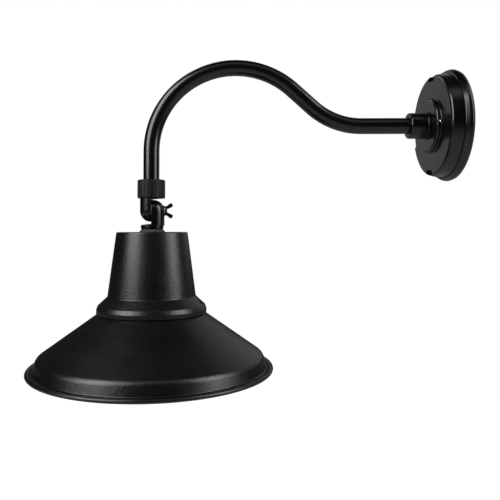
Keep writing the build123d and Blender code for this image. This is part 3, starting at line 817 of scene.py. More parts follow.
FINISHES: dict[Slot, Finish] = {
    Slot.SATIN_BLACK: PowderCoat(
        "satin_black", dark=0.0006, light=0.0012, grain_mm=0.35, rough=(0.22, 0.25),
        strength=0.008, depth_mm=0.004,
    ),
    Slot.TEXTURED_BLACK: PowderCoat(
        "textured_black", dark=0.0003, light=0.0022, grain_mm=1.5, rough=(0.28, 0.34),
        strength=1.0, depth_mm=0.18,
    ),
    Slot.COLLAR_BLACK: PowderCoat(
        "collar_black", dark=0.0006, light=0.003, grain_mm=1.1, rough=(0.34, 0.42),
        strength=0.7, depth_mm=0.10, sheen=0.42,
    ),
    Slot.BLACK_SCREW: PowderCoat(
        "black_screw", dark=0.010, light=0.020, grain_mm=0.5, rough=(0.35, 0.45),
        strength=0.2, depth_mm=0.03,
    ),
    Slot.GREEN_SCREW: Metal("green_screw", (0.05, 0.32, 0.10), (0.25, 0.4)),
    Slot.NICKEL: Metal("nickel", (0.72, 0.62, 0.46), (0.12, 0.24)),
    Slot.ZINC_STEEL: Metal("zinc_steel", (0.62, 0.63, 0.65), (0.22, 0.38)),
    Slot.BARE_ALUMINIUM: Metal("bare_aluminium", (0.80, 0.81, 0.83), (0.25, 0.42)),
    Slot.BLACK_RUBBER: Moulded("black_rubber", (0.020, 0.020, 0.021), (0.55, 0.7)),
    Slot.BLACK_PLASTIC: Moulded("black_plastic", (0.022, 0.022, 0.022), (0.4, 0.55)),
    Slot.FIBRE_WASHER: Moulded("fibre_washer", (0.035, 0.033, 0.030), (0.5, 0.65)),
    Slot.LEAD_JACKET: Moulded("lead_jacket", (0.05, 0.05, 0.05), (0.35, 0.5)),
    Slot.WHITE_PLASTIC: Moulded("white_plastic", (0.80, 0.80, 0.78), (0.45, 0.6)),
    Slot.WHITE_BOARD: Moulded("white_board", (0.86, 0.86, 0.84), (0.3, 0.4), scale=300.0),
    Slot.YELLOW_PHOSPHOR: Moulded("yellow_phosphor", (0.80, 0.58, 0.10), (0.25, 0.4)),
    Slot.WHITE_REFLECTOR: Moulded("white_reflector", (0.86, 0.86, 0.84), (0.2, 0.3), scale=200.0),
    Slot.CLEAR_SILICONE: Moulded("clear_silicone", (0.70, 0.70, 0.68), (0.4, 0.55)),
    Slot.FROSTED_LENS: FrostedGlass("frosted_lens", (0.93, 0.94, 0.92), (0.30, 0.40)),
}


class Paintbox:
    """Materials of the finishes, each built at its first use."""

    def __init__(self) -> None:
        """Start with none built."""
        self._built: dict[Slot, bpy.types.Material] = {}

    def material(self, slot: Slot) -> bpy.types.Material:
        """Material of a slot.

        Args:
            slot: The slot.

        Returns:
            Its material.
        """
        if slot not in self._built:
            self._built[slot] = FINISHES[slot].build()
        return self._built[slot]

    def dress(self, piece: bpy.types.Object, slot: Slot) -> None:
        """Give a piece the finish of a slot.

        Args:
            piece: The object.
            slot: Its finish.
        """
        piece.data.materials.clear()
        piece.data.materials.append(self.material(slot))


class SubAssembly:
    """A group of pieces that ride on one body."""

    body: Body
    title: str

    def __init__(self, paint: Paintbox) -> None:
        """Keep the materials for the pieces."""
        self.paint = paint

    def settle(self, piece: bpy.types.Object, slot: Slot, *nodes: str) -> None:
        """Dress a new piece, let it ride and stand for its nodes.

        Args:
            piece: The new object.
            slot: Its finish.
            *nodes: CAD nodes that it stands for.
        """
        self.paint.dress(piece, slot)
        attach(piece, self.body.value)
        if nodes:
            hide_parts(*nodes)
        LOG.info("%s: %s, %d faces", self.title, piece.name, len(piece.data.polygons))

    def carry(self, node: str, slot: Slot, sharp_degrees: float = 28.0) -> None:
        """Keep a CAD node in view with a finish of its own.

        Args:
            node: Name of the node.
            slot: Its finish.
            sharp_degrees: Edges that bend more than this stay sharp.
        """
        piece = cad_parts[node]
        self.paint.dress(piece, slot)
        shade(piece.data, sharp_degrees)
        LOG.info("%s: %s carried over", self.title, node)


# ---------------------------------------------------------------- wall mount


@dataclass(frozen=True)
class WallMountSizes:
    """Sizes of the canopy, its base and the hub, in millimetres and degrees."""

    gasket_y: float = -2.0
    base_r: float = 71.5
    base_inner_r: float = 60.6
    base_floor_y: float = -6.0
    base_front_y: float = -10.2
    bead_back_round: float = 1.0
    bead_slope: float = 5.0
    bead_slope_round: float = 5.0
    bead_inset: float = 3.0
    bead_edge_round: float = 1.6
    wire_hole_r: float = 30.0
    box_screw_spacing: float = 88.9
    slot_length: float = 10.0
    slot_r: float = 2.3
    cap_face_y: float = -24.8
    cap_front_r: float = 64.7
    cap_foot_r: float = 67.0
    cap_wall: float = 2.4
    cap_round: float = 3.8
    face_rings: Point2 = (4.0, 1.0)  # two rings that keep the cap's face flat, inside the notches
    boss_r: float = 35.0
    boss_face_y: float = -30.8
    boss_back_y: float = -20.0
    boss_round: float = 3.6
    boss_base_round: float = 1.2
    bore_r: float = 10.35
    notch_angles: tuple[float, ...] = (5.0, -100.0, -171.0)
    notch_inner_r: float = 57.2
    notch_w: float = 19.0
    notch_floor_y: float = -19.4
    notch_corner: float = 1.6
    tray_wall: float = 2.2
    tray_gap: float = 2.5          # tray's outer end to the cap's face edge
    tray_sink: float = 1.0         # tray's walls below the cap's face
    post_r: float = 3.2
    post_bore_r: float = 1.55
    post_top_y: float = -17.2
    post_circle: float = 60.0
    post_sink: float = 0.5
    screw_y: float = -27.5
    screw_r: float = 2.5
    screw_end: float = 10.2
    screw_out: float = 33.4
    screw_chamfer: float = 0.5
    screw_rim: float = 0.45
    screw_depth: float = 2.6
    screw_hole_gap: float = 0.35
    screw_hole_end: float = 9.0
    screw_hole_out: float = 40.0
    socket: float = 2.5
    socket_chamfer: float = 0.25
    washer_bore_r: float = 10.55
    washer_r: float = 17.8
    washer_y: float = -34.2
    hub_r: float = 16.6
    hub_front_y: float = -54.9


class WallMount(SubAssembly):
    """Canopy, its base and the screws that hold them."""

    body = Body.WALL_ARM
    title = "wall mount"
    notch_past = 4.0         # how far a notch's cutter stands out of the cap
    slot_past = 1.0          # how far a slot's cutter stands out of the base's two faces
    rim_segments = 240
    hub_segments = 128
    post_segments = 40
    slot_points = 32
    screw_points = 48

    def __init__(self, paint: Paintbox, sizes: WallMountSizes = WallMountSizes()) -> None:
        """Keep the sizes."""
        super().__init__(paint)
        self.s = sizes

    def _placed(self, angle: float, x: float, y: float, out: float) -> Vector:
        """Point beside a notch.

        Args:
            angle: Degrees of the notch from the top.
            x: Distance across the notch.
            y: Distance along the mount's axis.
            out: Distance outwards from the mount's axis.

        Returns:
            The point, in metres.
        """
        turn = math.radians(angle)
        c, n = math.cos(turn), math.sin(turn)
        return Vector((x * c + out * n, y, out * c - x * n)) * MM

    def _slot_cutter(self, side: int) -> bpy.types.Object:
        """Slot of a wall box screw.

        Args:
            side: 1 for the upper slot and -1 for the lower one.

        Returns:
            The cutter.
        """
        s = self.s
        middle = side * s.box_screw_spacing / 2
        reach = s.slot_length / 2 - s.slot_r
        outline: list[Point2] = []
        for a in turns(self.slot_points):
            shift = reach if math.sin(a) >= 0 else -reach
            outline.append((math.cos(a) * s.slot_r, middle + math.sin(a) * s.slot_r + shift))
        draft = MeshDraft()
        ends = (s.gasket_y + self.slot_past, s.base_floor_y - self.slot_past)
        draft.skin([[Vector((x, y, z)) * MM for x, z in outline] for y in ends])
        return draft.build("slot_cutter")

    def base(self) -> None:
        """Base with its sloped rim, wire hole, slots and screw posts."""
        s = self.s
        profile = rounded(
            [
                (s.wire_hole_r, s.gasket_y, 0.3),
                (s.base_r, s.gasket_y, s.bead_back_round),
                (s.base_r, s.base_front_y + s.bead_slope, s.bead_slope_round),
                (s.base_r - s.bead_inset, s.base_front_y, s.bead_edge_round),
                (s.base_inner_r, s.base_front_y, 0.4),
                (s.base_inner_r, s.base_floor_y, 0.6),
                (s.wire_hole_r, s.base_floor_y, 0.3),
            ],
            steps=10,
        )
        piece = turned("mounting_base_rim", profile, MOUNT_AXIS, self.rim_segments)
        carve(piece, [self._slot_cutter(side) for side in (1, -1)])
        self.settle(piece, Slot.SATIN_BLACK, "mounting_base")
        foot = s.base_floor_y + s.post_sink
        post = rounded([(s.post_bore_r, foot, 0), (s.post_r, foot, 0),
                        (s.post_r, s.post_top_y, 0.4), (s.post_bore_r, s.post_top_y, 0.2)])
        posts = MeshDraft()
        for angle in s.notch_angles:
            z, x = on_circle(s.post_circle, angle)
            posts.lathe(post, wall_axis(x, z), self.post_segments)
        self.settle(posts.build("mounting_base_posts"), Slot.SATIN_BLACK)

    def cap(self) -> None:
        """Canopy cap with its boss and the open notches for its screws."""
        s = self.s
        inside_y = s.cap_face_y + s.cap_wall
        profile = rounded(
            [
                (s.bore_r, s.boss_face_y, 0.2),
                (s.boss_r, s.boss_face_y, s.boss_round),
                (s.boss_r, s.cap_face_y, s.boss_base_round),
                (s.notch_inner_r - s.face_rings[0], s.cap_face_y, 0),
                (s.notch_inner_r - s.face_rings[1], s.cap_face_y, 0),
                (s.cap_front_r, s.cap_face_y, s.cap_round),
                (s.cap_foot_r, s.base_front_y, 0.3),
                (s.cap_foot_r - s.cap_wall, s.base_front_y, 0.3),
                (s.cap_front_r - s.cap_wall, inside_y, 1.2),
                (s.boss_r - s.cap_wall, inside_y, 0.8),
                (s.boss_r - s.cap_wall, s.boss_back_y, 0.5),
                (s.bore_r, s.boss_back_y, 0.2),
            ],
            steps=8,
        )
        piece = turned("canopy_cap_shell", profile, MOUNT_AXIS, self.rim_segments)
        cutters = [self._notch_cutter(angle) for angle in s.notch_angles]
        hole_r = s.screw_r + s.screw_hole_gap
        inner, outer = s.screw_hole_end, s.screw_hole_out
        hole = [(0, inner), (hole_r, inner), (hole_r, outer), (0, outer)]
        cutters.append(turned("screw_cutter", hole, side_axis(s.screw_y, 0), self.screw_points, closed=False))
        carve(piece, cutters)
        self.settle(piece, Slot.SATIN_BLACK, "canopy_cap")
        trays = MeshDraft()
        for angle in s.notch_angles:
            self._tray(trays, angle)
        self.settle(trays.build("canopy_cap_shelves"), Slot.SATIN_BLACK)

    def _notch_cutter(self, angle: float) -> bpy.types.Object:
        """Block with rounded inner corners that opens a notch.

        Args:
            angle: Degrees of the notch from the top.

        Returns:
            The cutter.
        """
        s = self.s
        half, corner = s.notch_w / 2, s.notch_corner
        inner, outer = s.notch_inner_r, s.base_r + self.notch_past
        corners = [(half, outer, 0), (half, inner, corner), (-half, inner, corner), (-half, outer, 0)]
        outline = rounded(corners)
        draft = MeshDraft()
        draft.skin([[self._placed(angle, x, y, out) for x, out in outline]
                    for y in (s.notch_floor_y, s.cap_face_y - self.notch_past)])
        return draft.build("notch_cutter")

    def _tray(self, draft: MeshDraft, angle: float) -> None:
        """Floor and three walls under a notch.

        Args:
            draft: Draft that gets the tray.
            angle: Degrees of the notch from the top.
        """
        s = self.s
        half, wall, inner = s.notch_w / 2, s.tray_wall, s.notch_inner_r
        back, outer = inner - wall, s.cap_front_r - s.tray_gap
        wall_top, floor = s.cap_face_y + s.tray_sink, s.notch_floor_y
        blocks = [
            (-half - wall, half + wall, floor, s.post_top_y, back, outer),
            (-half - wall, -half, wall_top, floor, back, outer),
            (half, half + wall, wall_top, floor, back, outer),
            (-half, half, wall_top, floor, back, inner),
        ]
        for x0, x1, y0, y1, r0, r1 in blocks:
            corners = ((x0, r0), (x1, r0), (x1, r1), (x0, r1))
            draft.skin([[self._placed(angle, x, y, r) for x, r in corners] for y in (y0, y1)])

    def _socket_loop(self, radius: float, height: float, hexagon: bool) -> Loop:
        """Ring of the set screw, round or six-sided.

        Args:
            radius: Radius, or half the width across the flats.
            height: Distance from the mount's axis.
            hexagon: Whether the ring is six-sided.

        Returns:
            The ring.
        """
        sixth = math.pi / 3
        axis = side_axis(self.s.screw_y, 0)
        loop = []
        for a in turns(self.screw_points):
            reach = radius / math.cos((a + sixth / 2) % sixth - sixth / 2) if hexagon else radius
            loop.append(axis.point(reach, height, a))
        return loop

    def set_screw(self) -> None:
        """Hex socket set screw in the side of the boss."""
        s = self.s
        flat = s.socket / 2
        draft = MeshDraft()
        draft.skin([
            self._socket_loop(s.screw_r, s.screw_end, False),
            self._socket_loop(s.screw_r, s.screw_out - s.screw_chamfer, False),
            self._socket_loop(s.screw_r - s.screw_rim, s.screw_out, False),
            self._socket_loop(flat + s.socket_chamfer, s.screw_out, True),
            self._socket_loop(flat, s.screw_out - s.socket_chamfer, True),
            self._socket_loop(flat, s.screw_out - s.screw_depth, True),
        ])
        self.settle(draft.build("set_screw"), Slot.NICKEL, "boss_set_screw")

    def hub(self) -> None:
        """Washer and threaded hub that hold the arm in the boss."""
        s = self.s
        washer = rounded([(s.washer_bore_r, s.washer_y, 0.2), (s.washer_r, s.washer_y, 0.9),
                          (s.washer_r, s.boss_face_y, 0.4), (s.washer_bore_r, s.boss_face_y, 0.2)])
        piece = turned("hub_washer_ring", washer, MOUNT_AXIS, self.hub_segments)
        self.settle(piece, Slot.SATIN_BLACK, "hub_washer")
        hub = rounded([(s.bore_r, s.hub_front_y, 1.1), (s.hub_r, s.hub_front_y, 2.0),
                       (s.hub_r, s.washer_y, 0.6), (s.bore_r, s.washer_y, 0.2)], steps=8)
        piece = turned("arm_hub_body", hub, MOUNT_AXIS, self.hub_segments)
        self.settle(piece, Slot.SATIN_BLACK, "arm_hub")

    def build(self) -> None:
        """Make every piece of the mount."""
        self.base()
        self.cap()
        self.set_screw()
        self.hub()
        self.carry("wall_gasket", Slot.BLACK_RUBBER)
        self.carry("ground_screw", Slot.GREEN_SCREW)
        self.carry("cap_screws", Slot.BLACK_SCREW)


# ---------------------------------------------------------------- arm


@dataclass(frozen=True)
class ArmSizes:
    """Sizes of the gooseneck tube, in millimetres and degrees."""

    tube_r: float = 10.3
    wall: float = 1.8
    wall_end_y: float = -11.5
    arch_r: float = 108.95
    reverse_r: float = 93.0
    bend: float = 42.6
    slope: float = 34.6
    end_z: float = -84.0

    @property
    def stub_end_y(self) -> float:
        """Where the stub meets the reverse bend.

        Returns:
            Its Y.
        """
        turn = math.radians(self.bend)
        across = self.arch_r + (self.arch_r + self.reverse_r) * math.sin(turn)
        return across + self.slope * math.cos(turn) - REACH


class Arm(SubAssembly):
    """Bent tube and the small pieces on its two ends."""

    body = Body.WALL_ARM
    title = "arm"
    degrees_per_ring = 1.5
    sides = 72
    support = 2.0            # millimetres from the stub's ends to the rings that hold them straight

    def __init__(self, paint: Paintbox, sizes: ArmSizes = ArmSizes()) -> None:
        """Keep the sizes."""
        super().__init__(paint)
        self.s = sizes

    def path(self) -> list[Point3]:
        """Centreline from the wall to the limb's end.

        Returns:
            Y, Z and heading of each point. The heading is the climb away from the wall, in degrees.
        """
        s = self.s
        y, z, heading = s.stub_end_y, 0.0, 0.0
        stub = (s.wall_end_y, s.wall_end_y - self.support, y + self.support, y)
        places = [(stop, z, heading) for stop in stub]
        for radius, turn, after in ((s.reverse_r, s.bend, s.slope), (s.arch_r, -90.0 - s.bend, None)):
            steps = int(abs(turn) / self.degrees_per_ring)
            chord = 2 * radius * math.sin(math.radians(abs(turn) / steps / 2))
            for _ in range(steps):
                middle = math.radians(heading + turn / steps / 2)
                heading += turn / steps
                y -= chord * math.cos(middle)
                z += chord * math.sin(middle)
                places.append((y, z, heading))
            run = after if after is not None else z - s.end_z
            y -= run * math.cos(math.radians(heading))
            z += run * math.sin(math.radians(heading))
            places.append((y, z, heading))
        return places

    def _ring(self, place: Point3, radius: float) -> Loop:
        """Ring of the tube, square to the centreline.

        Args:
            place: Y, Z and heading of its centre.
            radius: Its radius.

        Returns:
            The ring.
        """
        y, z, heading = place
        turn = math.radians(heading)
        up, ahead = (0, math.sin(turn), math.cos(turn)), (0, -math.cos(turn), math.sin(turn))
        axis = TurnFrame((0, y, z), (1, 0, 0), up, ahead)
        return [axis.point(radius, 0, a) for a in turns(self.sides)]

    def tube(self) -> None:
        """The tube, outside and inside."""
        path = self.path()
        outside = [self._ring(place, self.s.tube_r) for place in path]
        inside = [self._ring(place, self.s.tube_r - self.s.wall) for place in reversed(path)]
        draft = MeshDraft()
        draft.skin(outside + inside, closed=True)
        self.settle(draft.build("arm_tube"), Slot.SATIN_BLACK, "arm")

    def build(self) -> None:
        """Make the tube and keep the pieces inside it."""
        self.tube()
        self.carry("arm_leads", Slot.LEAD_JACKET)
        self.carry("arm_lockwasher", Slot.ZINC_STEEL)
        self.carry("arm_locknut", Slot.ZINC_STEEL)
        self.carry("wire_bushing", Slot.BLACK_PLASTIC)
        self.carry("swivel_seal", Slot.BLACK_RUBBER)


# ---------------------------------------------------------------- swivel collar


@dataclass(frozen=True)
class CollarSizes:
    """Sizes of the knurled collar, in millimetres."""

    outer_r: float = 17.8
    top_z: float = -69.5
    foot_z: float = -92.9
    chamfer: float = 0.9
    bore_r: float = 10.35
    neck_bore_r: float = 7.58
    lip_z: float = -87.96
    knurls: int = 56
    knurl_depth: float = 0.65
    knurl_band: float = 1.1        # how far in from the outside the grooves reach
    groove_share: float = 0.28     # half a groove's width, as a share of the pitch


class Collar(SubAssembly):
    """Knurled collar that clamps the knuckle's spigot to the arm."""

    body = Body.COLLAR
    title = "collar"
    segments_per_knurl = 12
    sharp_degrees = 24.0

    def __init__(self, paint: Paintbox, sizes: CollarSizes = CollarSizes()) -> None:
        """Keep the sizes."""
        super().__init__(paint)
        self.s = sizes

    def _knurled(self, radius: float, angle: float) -> float:
        """Radius with the knurl's grooves taken off near the outside.

        Args:
            radius: Radius of the plain collar.
            angle: Angle about its axis, in radians.

        Returns:
            The knurled radius.
        """
        s = self.s
        if radius < s.outer_r - s.knurl_band:
            return radius
        phase = (angle * s.knurls / (2 * math.pi)) % 1.0
        groove = max(0.0, 1.0 - abs(phase - 0.5) / s.groove_share)
        return radius - groove * s.knurl_depth

    def build(self) -> None:
        """Make the collar."""
        s = self.s
        face_r = s.outer_r - s.chamfer
        profile = rounded(
            [
                (s.bore_r, s.top_z, 0.4),
                (face_r, s.top_z, 0.2),
                (s.outer_r, s.top_z - s.chamfer, 0.2),
                (s.outer_r, s.foot_z + s.chamfer, 0.2),
                (face_r, s.foot_z, 0.2),
                (s.neck_bore_r, s.foot_z, 0.2),
                (s.neck_bore_r, s.lip_z, 0),
                (s.bore_r, s.lip_z, 0),
            ],
            steps=3,
        )
        draft = MeshDraft()
        draft.lathe(profile, LIMB_AXIS, s.knurls * self.segments_per_knurl, radius_at=self._knurled)
        self.settle(draft.build("collar_knurled", self.sharp_degrees), Slot.COLLAR_BLACK, "knurled_collar")


# ---------------------------------------------------------------- knuckle


@dataclass(frozen=True)
class KnuckleSizes:
    """Sizes of the two knuckle halves, in millimetres."""

    radius: float = 14.0
    edge: float = 0.5
    least_rim: float = 0.05
    upper_face_y: float = -385.8
    upper_outer_y: float = -400.6
    upper_top_z: float = -93.2
    lower_face_y: float = -385.0
    lower_outer_y: float = -369.35
    seat_y: float = -369.05
    seat_r: float = 6.6
    seat_bore_r: float = 3.1
    seat_depth: float = 5.0
    foot_z: float = -127.1
    foot_base_z: float = -132.6
    foot_r: float = 14.5
    foot_slope: float = 2.4
    foot_chamfer: float = 1.3
    overlap: float = 0.6           # how far the neck and the foot run into the round half
    stem_r: float = 7.0
    stem_end_z: float = -150.1
    bore_r: float = 4.4
    bore_rim: float = 1.0          # from the bore to the top of the foot's slope, inside the half
    spigot_r: float = 7.5
    spigot_head_r: float = 9.5
    spigot_shoulder_z: float = -87.88
    spigot_top_z: float = -85.28
    wireway_r: float = 4.2


class KnuckleHalf(SubAssembly):
    """One half of the knuckle: a flat mating face and a round outer side."""

    title = "knuckle"
    side_steps = 8
    round_steps = 48
    end_steps = 6
    dome_steps = 24
    edge_steps = 3
    foot_segments = 96
    boss_segments = 64       # of the spigot and the wing screw's seat

    def __init__(self, paint: Paintbox, side: KnuckleSide, sizes: KnuckleSizes = KnuckleSizes()) -> None:
        """Keep the side and the sizes.

        Args:
            paint: Materials for the pieces.
            side: Which half this is.
            sizes: Its sizes.
        """
        super().__init__(paint)
        self.side = side
        self.s = sizes
        self.body = Body.KNUCKLE if side is KnuckleSide.UPPER else Body.HEAD

    def _loop(self, radius: float, y: float, end_z: float) -> Loop:
        """Ring that is round about the pivot and straight towards its end.

        Args:
            radius: Radius about the pivot.
            y: Place of the ring along the pivot.
            end_z: Height at which the straight sides end.

        Returns:
            The ring.
        """
        away = 1.0 if end_z > PIVOT_Z else -1.0
        flat: list[Point2] = []
        for k in range(self.side_steps + 1):
            flat.append((radius, end_z + (PIVOT_Z - end_z) * k / self.side_steps))
        for k in range(1, self.round_steps):
            a = math.pi * k / self.round_steps
            flat.append((radius * math.cos(a), PIVOT_Z - away * radius * math.sin(a)))
        for k in range(self.side_steps + 1):
            flat.append((-radius, PIVOT_Z + (end_z - PIVOT_Z) * k / self.side_steps))
        for k in range(1, self.end_steps):
            flat.append((-radius + 2 * radius * k / self.end_steps, end_z))
        return [Vector((x, y, z)) * MM for x, z in flat]

    def _shell(self, draft: MeshDraft, face_y: float, outer_y: float, end_z: float) -> None:
        """The half's solid from its domed outer side to its mating face.

        Args:
            draft: Draft that gets the solid.
            face_y: Place of the mating face.
            outer_y: Place of the outermost point.
            end_z: Height at which the straight sides end.
        """
        s = self.s
        sign = 1.0 if outer_y > face_y else -1.0
        depth = abs(outer_y - face_y)
        stations: list[Point2] = []
        for k in range(self.dome_steps + 1):
            a = math.pi / 2 * k / self.dome_steps
            stations.append((s.radius * (1 - math.cos(a)), s.radius * math.sin(a)))
        rim = max(s.radius + s.least_rim, depth - s.edge)
        for k in range(self.edge_steps + 1):
            a = math.pi / 2 * k / self.edge_steps
            inset = (depth - rim) * (1 - math.cos(a))
            stations.append((rim + (depth - rim) * math.sin(a), s.radius - inset))
        loops = [self._loop(r, outer_y - sign * d, end_z) for d, r in stations]
        draft.skin(loops, caps=False)
        draft.add(loops[-1], [tuple(range(len(loops[-1])))])

    def upper(self) -> None:
        """Upper half with the spigot that the collar holds."""
        s = self.s
        neck_z = s.upper_top_z - s.overlap
        draft = MeshDraft()
        self._shell(draft, s.upper_face_y, s.upper_outer_y, s.upper_top_z)
        spigot = rounded(
            [
                (s.wireway_r, neck_z, 0),
                (s.spigot_r, neck_z, 0.2),
                (s.spigot_r, s.spigot_shoulder_z, 0.2),
                (s.spigot_head_r, s.spigot_shoulder_z, 0.3),
                (s.spigot_head_r, s.spigot_top_z, 0.3),
                (s.wireway_r, s.spigot_top_z, 0.3),
            ]
        )
        draft.lathe(spigot, LIMB_AXIS, self.boss_segments)
        self.settle(draft.build("knuckle_upper"), Slot.SATIN_BLACK, "upper_knuckle")
        self.carry("pivot_washer", Slot.FIBRE_WASHER)

    def lower(self) -> None:
        """Lower half with its foot, its hollow stem and the wing screw's seat."""
        s = self.s
        rim_r = s.bore_r + s.bore_rim
        draft = MeshDraft()
        self._shell(draft, s.lower_face_y, s.lower_outer_y, s.foot_z - s.overlap)
        foot = rounded(
            [
                (s.bore_r, s.foot_z, 0),
                (rim_r, s.foot_z + s.foot_slope * (1 - rim_r / s.foot_r), 0),
                (s.foot_r, s.foot_z, 0.6),
                (s.foot_r, s.foot_base_z + s.foot_chamfer, 0.3),
                (s.foot_r - s.foot_chamfer, s.foot_base_z, 0.3),
                (s.stem_r, s.foot_base_z, 0.2),
                (s.stem_r, s.stem_end_z, 0.4),
                (s.bore_r, s.stem_end_z, 0.3),
            ]
        )
        draft.lathe(foot, LAMP_AXIS, self.foot_segments)
        back_y = s.seat_y - s.seat_depth
        seat = rounded([(s.seat_bore_r, s.seat_y, 0), (s.seat_r, s.seat_y, 0.5),
                        (s.seat_r, back_y, 0), (s.seat_bore_r, back_y, 0)])
        draft.lathe(seat, PIVOT_AXIS, self.boss_segments)
        self.settle(draft.build("knuckle_lower"), Slot.SATIN_BLACK, "lower_knuckle")
        self.carry("wing_washer", Slot.ZINC_STEEL)

    def build(self) -> None:
        """Make the half."""
        if self.side is KnuckleSide.UPPER:
            self.upper()
        else:
            self.lower()


# ---------------------------------------------------------------- wing screw


@dataclass(frozen=True)
class WingSizes:
    """Sizes of the wing screw, in millimetres and degrees."""

    seat_y: float = -368.17
    shank_r: float = 3.0
    shank_end_y: float = -394.3
    shank_overlap: float = 0.1
    hub_r: float = 6.0
    hub_h: float = 2.0
    splay: float = 32.0
    length: float = 9.1
    width: float = 5.2
    waist: float = 0.3             # share of the width that is missing at the root
    waist_spread: float = 0.8      # how far the waist reaches, as a share of half the length
    thickness: float = 3.0
    least: float = 0.02            # half width and thickness of the first and the last ring
    root: float = 3.4
    sink: float = 0.8
    paddle_power: int = 16         # how square the paddle's end is
    section_power: int = 5         # how square its section is


class WingScrew(SubAssembly):
    """Screw with two wings that tightens the tilt."""

    body = Body.WING
    title = "wing screw"
    rings = 24
    ring_points = 32
    hub_segments = 64
    shank_segments = 48

    def __init__(self, paint: Paintbox, sizes: WingSizes = WingSizes()) -> None:
        """Keep the sizes."""
        super().__init__(paint)
        self.s = sizes

    def _wing(self, draft: MeshDraft, side: float) -> None:
        """One wing: rings along its length that swell to a rounded paddle.

        Args:
            draft: Draft that gets the wing.
            side: 1 for the upper wing and -1 for the lower one.
        """
        s = self.s
        lean = math.radians(s.splay) * side
        along = Vector((0, math.cos(lean), math.sin(lean)))
        across = Vector((0, -math.sin(lean), math.cos(lean)))
        root = Vector((0, s.seat_y + s.hub_h - s.sink, PIVOT_Z + side * s.root))
        half = s.length / 2
        loops: list[Loop] = []
        for k in range(self.rings + 1):
            t = math.sin(math.pi / 2 * (-1 + 2 * k / self.rings))
            edge = max(0.0, 1 - abs(t) ** s.paddle_power) ** 0.5
            waist = 1.0 - s.waist * math.exp(-((t + 1.0) / s.waist_spread) ** 2)
            w = max(s.least, s.width / 2 * edge * waist)
            h = max(s.least, s.thickness / 2 * edge)
            loop: Loop = []
            for a in turns(self.ring_points):
                c, n = math.cos(a), math.sin(a)
                squarish = (abs(c) ** s.section_power + abs(n) ** s.section_power) ** (-1 / s.section_power)
                point = root + along * (half + half * t) + across * (w * c * squarish)
                loop.append((point + Vector((1, 0, 0)) * (h * n * squarish)) * MM)
            loops.append(loop)
        draft.skin(loops)

    def build(self) -> None:
        """Make the screw."""
        s = self.s
        face_y, shank_y = s.seat_y + s.hub_h, s.seat_y + s.shank_overlap
        hub = [(0, s.seat_y, 0), (s.hub_r, s.seat_y, 0.3), (s.hub_r, face_y, 0.9), (0, face_y, 0)]
        shank = [(0, s.shank_end_y, 0), (s.shank_r, s.shank_end_y, 0.5),
                 (s.shank_r, shank_y, 0), (0, shank_y, 0)]
        draft = MeshDraft()
        for corners, segments in ((hub, self.hub_segments), (shank, self.shank_segments)):
            draft.lathe(rounded(corners, closed=False), PIVOT_AXIS, segments, closed=False)
        for side in (1.0, -1.0):
            self._wing(draft, side)
        self.settle(draft.build("wing_screw_body"), Slot.SATIN_BLACK, "wing_screw")


# ---------------------------------------------------------------- lamp housing


@dataclass(frozen=True)
class HousingSizes:
    """Sizes of the can, its skirt and the gasket, in millimetres and degrees."""

    top_z: float = -136.0
    stem_hole_r: float = 7.25
    top_r: float = 45.25
    top_inner_r: float = 43.05
    base_r: float = 55.7
    foot_z: float = -216.7
    wall: float = 2.6
    top_wall: float = 3.0
    rounding: float = 2.6
    skirt_r: float = 67.5
    skirt_z: float = -227.5
    band_r: float = 69.3
    band_foot_r: float = 69.2
    band_widest_z: float = -232.3
    band_foot_z: float = -237.5
    band_inner_r: float = 67.5
    seat_z: float = -232.1
    screw_circle: float = 63.2
    screw_angles: tuple[float, ...] = (80.0, 260.0)
    pocket_r: float = 3.2
    pocket_z: float = -228.7
    gasket_top_z: float = -132.6
    gasket_top_r: float = 13.7
    gasket_foot_r: float = 16.6
    gasket_lip_r: float = 16.3
    gasket_lip_h: float = 0.9


